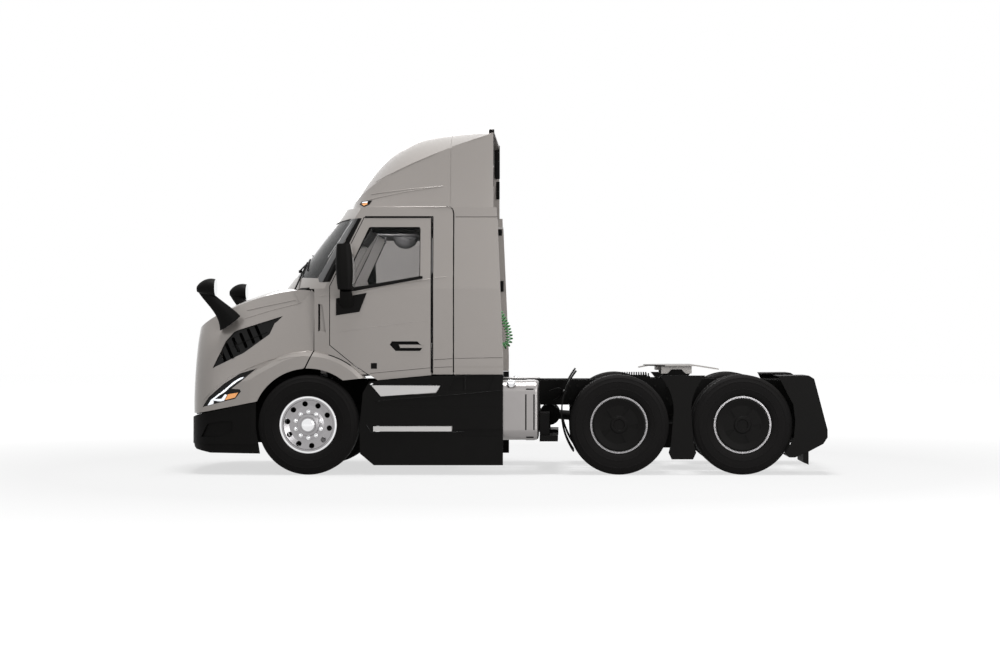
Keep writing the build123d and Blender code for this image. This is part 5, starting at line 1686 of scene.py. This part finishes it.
# ---------------------------------------------------------------- skirts, steps and tanks
@dataclass
class Flanks:
    """Skirt lines, step surrounds and ribs, the bumper seal, tank fittings and hoses."""

    creases: tuple[Line, ...] = (
        Line(((1.319, 0.774), (0.702, 0.824), (0.012, 0.884)), 0.002),
        Line(((0.398, 0.886), (0.398, 1.030)), 0.003),
    )
    surround: tuple[Line, ...] = (
        Line(((1.430, 0.520), (1.385, 0.446), (0.520, 0.446), (0.405, 0.452)), 0.006),
    )
    bright: tuple[Panel, ...] = (
        Panel(((1.395, 0.948), (1.372, 0.962), (1.360, 0.952), (1.383, 0.940)), 0.004, 0.001, 2),
    )
    tread_x: tuple[float, float, int] = (0.700, 1.330, 22)
    tread_y: tuple[float, float] = (1.155, 1.188)
    tread_z: tuple[float, float] = (0.508, 0.934)
    seal_x: tuple[float, ...] = (3.300, 3.260, 3.210, 3.150, 3.080, 3.000, 2.920)
    seal_radius: float = 0.013
    seal_inset: Point = (0.030, 0.078, 0.003)
    rim_front: Flat = (3.288, 0.639)
    rim_rise: float = 0.155
    wall_drop: float = 0.045
    strap_slots: tuple[tuple[float, float], ...] = ((-0.327, -0.313), (-0.242, -0.228))
    strap_z: tuple[float, float] = (0.468, 0.842)
    mark_x: tuple[float, float] = (-0.316, -0.238)
    mark_z: tuple[float, float] = (0.896, 0.391)
    mark_half: float = 0.007
    cap: Point = (-0.080, 1.1505, 0.952)
    hose: tuple[Point, ...] = (
        (-0.480, 0.70, 0.86), (-0.560, 0.74, 0.905), (-0.620, 0.74, 0.878), (-0.600, 0.72, 0.800),
        (-0.520, 0.70, 0.760),
    )

    def bumper_seal(self) -> None:
        """A round seal on the bumper, inside the gap under the hood."""
        skin = Skin("bumper")
        route = []
        for x in self.seal_x:
            rim = self.rim_front[1] + (self.rim_front[0] - x) * self.rim_rise
            outer = skin.point((x, rim - self.wall_drop))
            route.append(Vector((outer.x, outer.y, rim)) - Vector(self.seal_inset))
        skin.drop()
        seal = Bench.tube("bumper_seal", route, self.seal_radius)
        both_sides(seal, "bumper_seal", Finish.SEAL, BOTH_CHASSIS)

    def treads(self) -> None:
        """Grip ribs across the step treads."""
        low, high, count = self.tread_x
        inner, outer = self.tread_y
        parts = []
        for number in range(count):
            x = low + (high - low) * number / (count - 1)
            for z in self.tread_z:
                parts.append(
                    Bench.box("rib", (x - 0.004, inner, z - 0.002), (x + 0.004, outer, z + 0.004))
                )
        both_sides(
            Bench.join("step_ribs", parts), "step_ribs", Finish.STEP, BOTH_CHASSIS
        )

    def tank_fittings(self) -> None:
        """Strap slots, strap ends and a bright filler cap on each tank."""
        fields = [(*across, *self.strap_z) for across in self.strap_slots]
        fields += [(*self.mark_x, z - self.mark_half, z + self.mark_half) for z in self.mark_z]
        slots = [
            Panel(((x1, z1), (x0, z1), (x0, z0), (x1, z0)), 0.001, 0.0005)
            for x0, x1, z0, z1 in fields
        ]
        dress(("fuel_tanks",), BOTH_CHASSIS, (("strap_slots", slots, Finish.TRIM),))
        out = Vector((0.0, 0.6, 0.8)).normalized()
        base = Vector(self.cap)
        ring = Bench.rod("cap_ring", tuple(base - out * 0.004), tuple(base + out * 0.010), 0.050, 40)
        lid = Bench.rod("cap_lid", tuple(base + out * 0.010), tuple(base + out * 0.028), 0.043, 40, 0.9)
        grip = Bench.box("cap_grip", (-0.112, 1.166, 0.972), (-0.048, 1.176, 0.990), 0.003)
        both_sides(
            Bench.join("filler_caps", [ring, lid, grip]), "filler_caps", Finish.CHROME,
            BOTH_CHASSIS,
        )

    def build(self) -> None:
        """Dresses both flanks."""
        dress(("skirts",), BOTH_CHASSIS, (("skirt_creases", self.creases, Finish.GLOSS_TRIM),))
        dress(("skirts", "steps"), BOTH_CHASSIS, (
            ("step_surround", self.surround, Finish.GLOSS_TRIM),
            ("step_corner", self.bright, Finish.CHROME),
        ))
        self.treads()
        self.bumper_seal()
        self.tank_fittings()
        hose = Bench.tube("brake_hose", self.hose, 0.009)
        both_sides(hose, "brake_hose", Finish.TRIM, BOTH_CHASSIS)


# ---------------------------------------------------------------- chassis
@dataclass
class Chassis:
    """Bolts and tail lenses on the frame."""

    web_y: float = 0.430
    bolt_x: tuple[float, ...] = (
        -0.70, -0.78, -0.93, -1.05, -1.38, -1.50, -1.62, -1.75, -1.96, -2.08, -2.20, -2.34, -2.66,
        -2.78, -2.90, -3.02, -3.14,
    )
    bolt_z: tuple[float, float] = (0.775, 0.915)
    bolt_radius: float = 0.014
    lamp_rows: tuple[tuple[float, float], ...] = ((0.190, 0.845), (0.275, 0.845), (0.360, 0.845))

    def bolts(self) -> None:
        """Hex heads along the outer faces of the rails."""
        parts = [
            Bench.rod("bolt", (x, self.web_y - 0.001, z), (x, self.web_y + 0.011, z),
                      self.bolt_radius, 6)
            for x in self.bolt_x for z in self.bolt_z
        ]
        both_sides(
            Bench.join("rail_bolts", parts), "rail_bolts", Finish.CAST, BOTH_CHASSIS
        )

    def tail_lamps(self) -> None:
        """Round lenses in the tail lamp housings."""
        parts = [
            Bench.rod("lens", (-3.299, y, z), (-3.309, y, z), 0.034, 28, 0.9)
            for y, z in self.lamp_rows
        ]
        both_sides(
            Bench.join("tail_lenses", parts), "tail_lenses", Finish.RED, BOTH_CHASSIS
        )

    def build(self) -> None:
        """Adds the fixings."""
        self.bolts()
        self.tail_lamps()


# ---------------------------------------------------------------- finishes of the carried-over nodes
COATS = {
    Finish.BODY: (
        "cab_back", "cab_front", "cab_roof", "cab_sides", "door_left", "door_right", "hood",
        "roof_fairing", "side_extenders",
    ),
    Finish.TRIM: (
        "bumper", "skirts", "rear_fenders", "quarter_fenders", "center_fairings", "cowl",
        "mirror_left", "mirror_right", "hood_mirrors", "air_tanks",
    ),
    Finish.GLOSS_TRIM: ("grille", "headlamps"),
    Finish.FRAME: ("frame_rails", "crossmembers", "line_bracket", "fifth_wheel_base"),
    Finish.CAST: (
        "engine_block", "front_axle", "drive_axles", "suspension", "knuckle_left",
        "knuckle_right", "tie_rod",
    ),
    Finish.STEEL: ("fifth_wheel_plate",),
    Finish.TANK: ("fuel_tanks",),
    Finish.STEP: ("steps",),
    Finish.GLASS: ("door_glass_left", "door_glass_right"),
    Finish.WINDSHIELD: ("cab_glass",),
    Finish.RED: ("lamps",),
    Finish.INTERIOR_DARK: ("dashboard", "cab_floor"),
    Finish.CLOTH: ("seats",),
}


def main() -> None:
    """Builds the studio and every sub-assembly in order."""
    logging.basicConfig(level=logging.INFO, format="%(message)s")
    Studio().build()
    CurlyLine().build()
    for finish, nodes in COATS.items():
        for node in nodes:
            coat(node, finish)
    Wheels().build()
    Hood().build()
    Cab().build()
    Doors().build()
    Interior().build()
    Fairing().build()
    Flanks().build()
    Chassis().build()


if __name__ == "__main__":
    main()
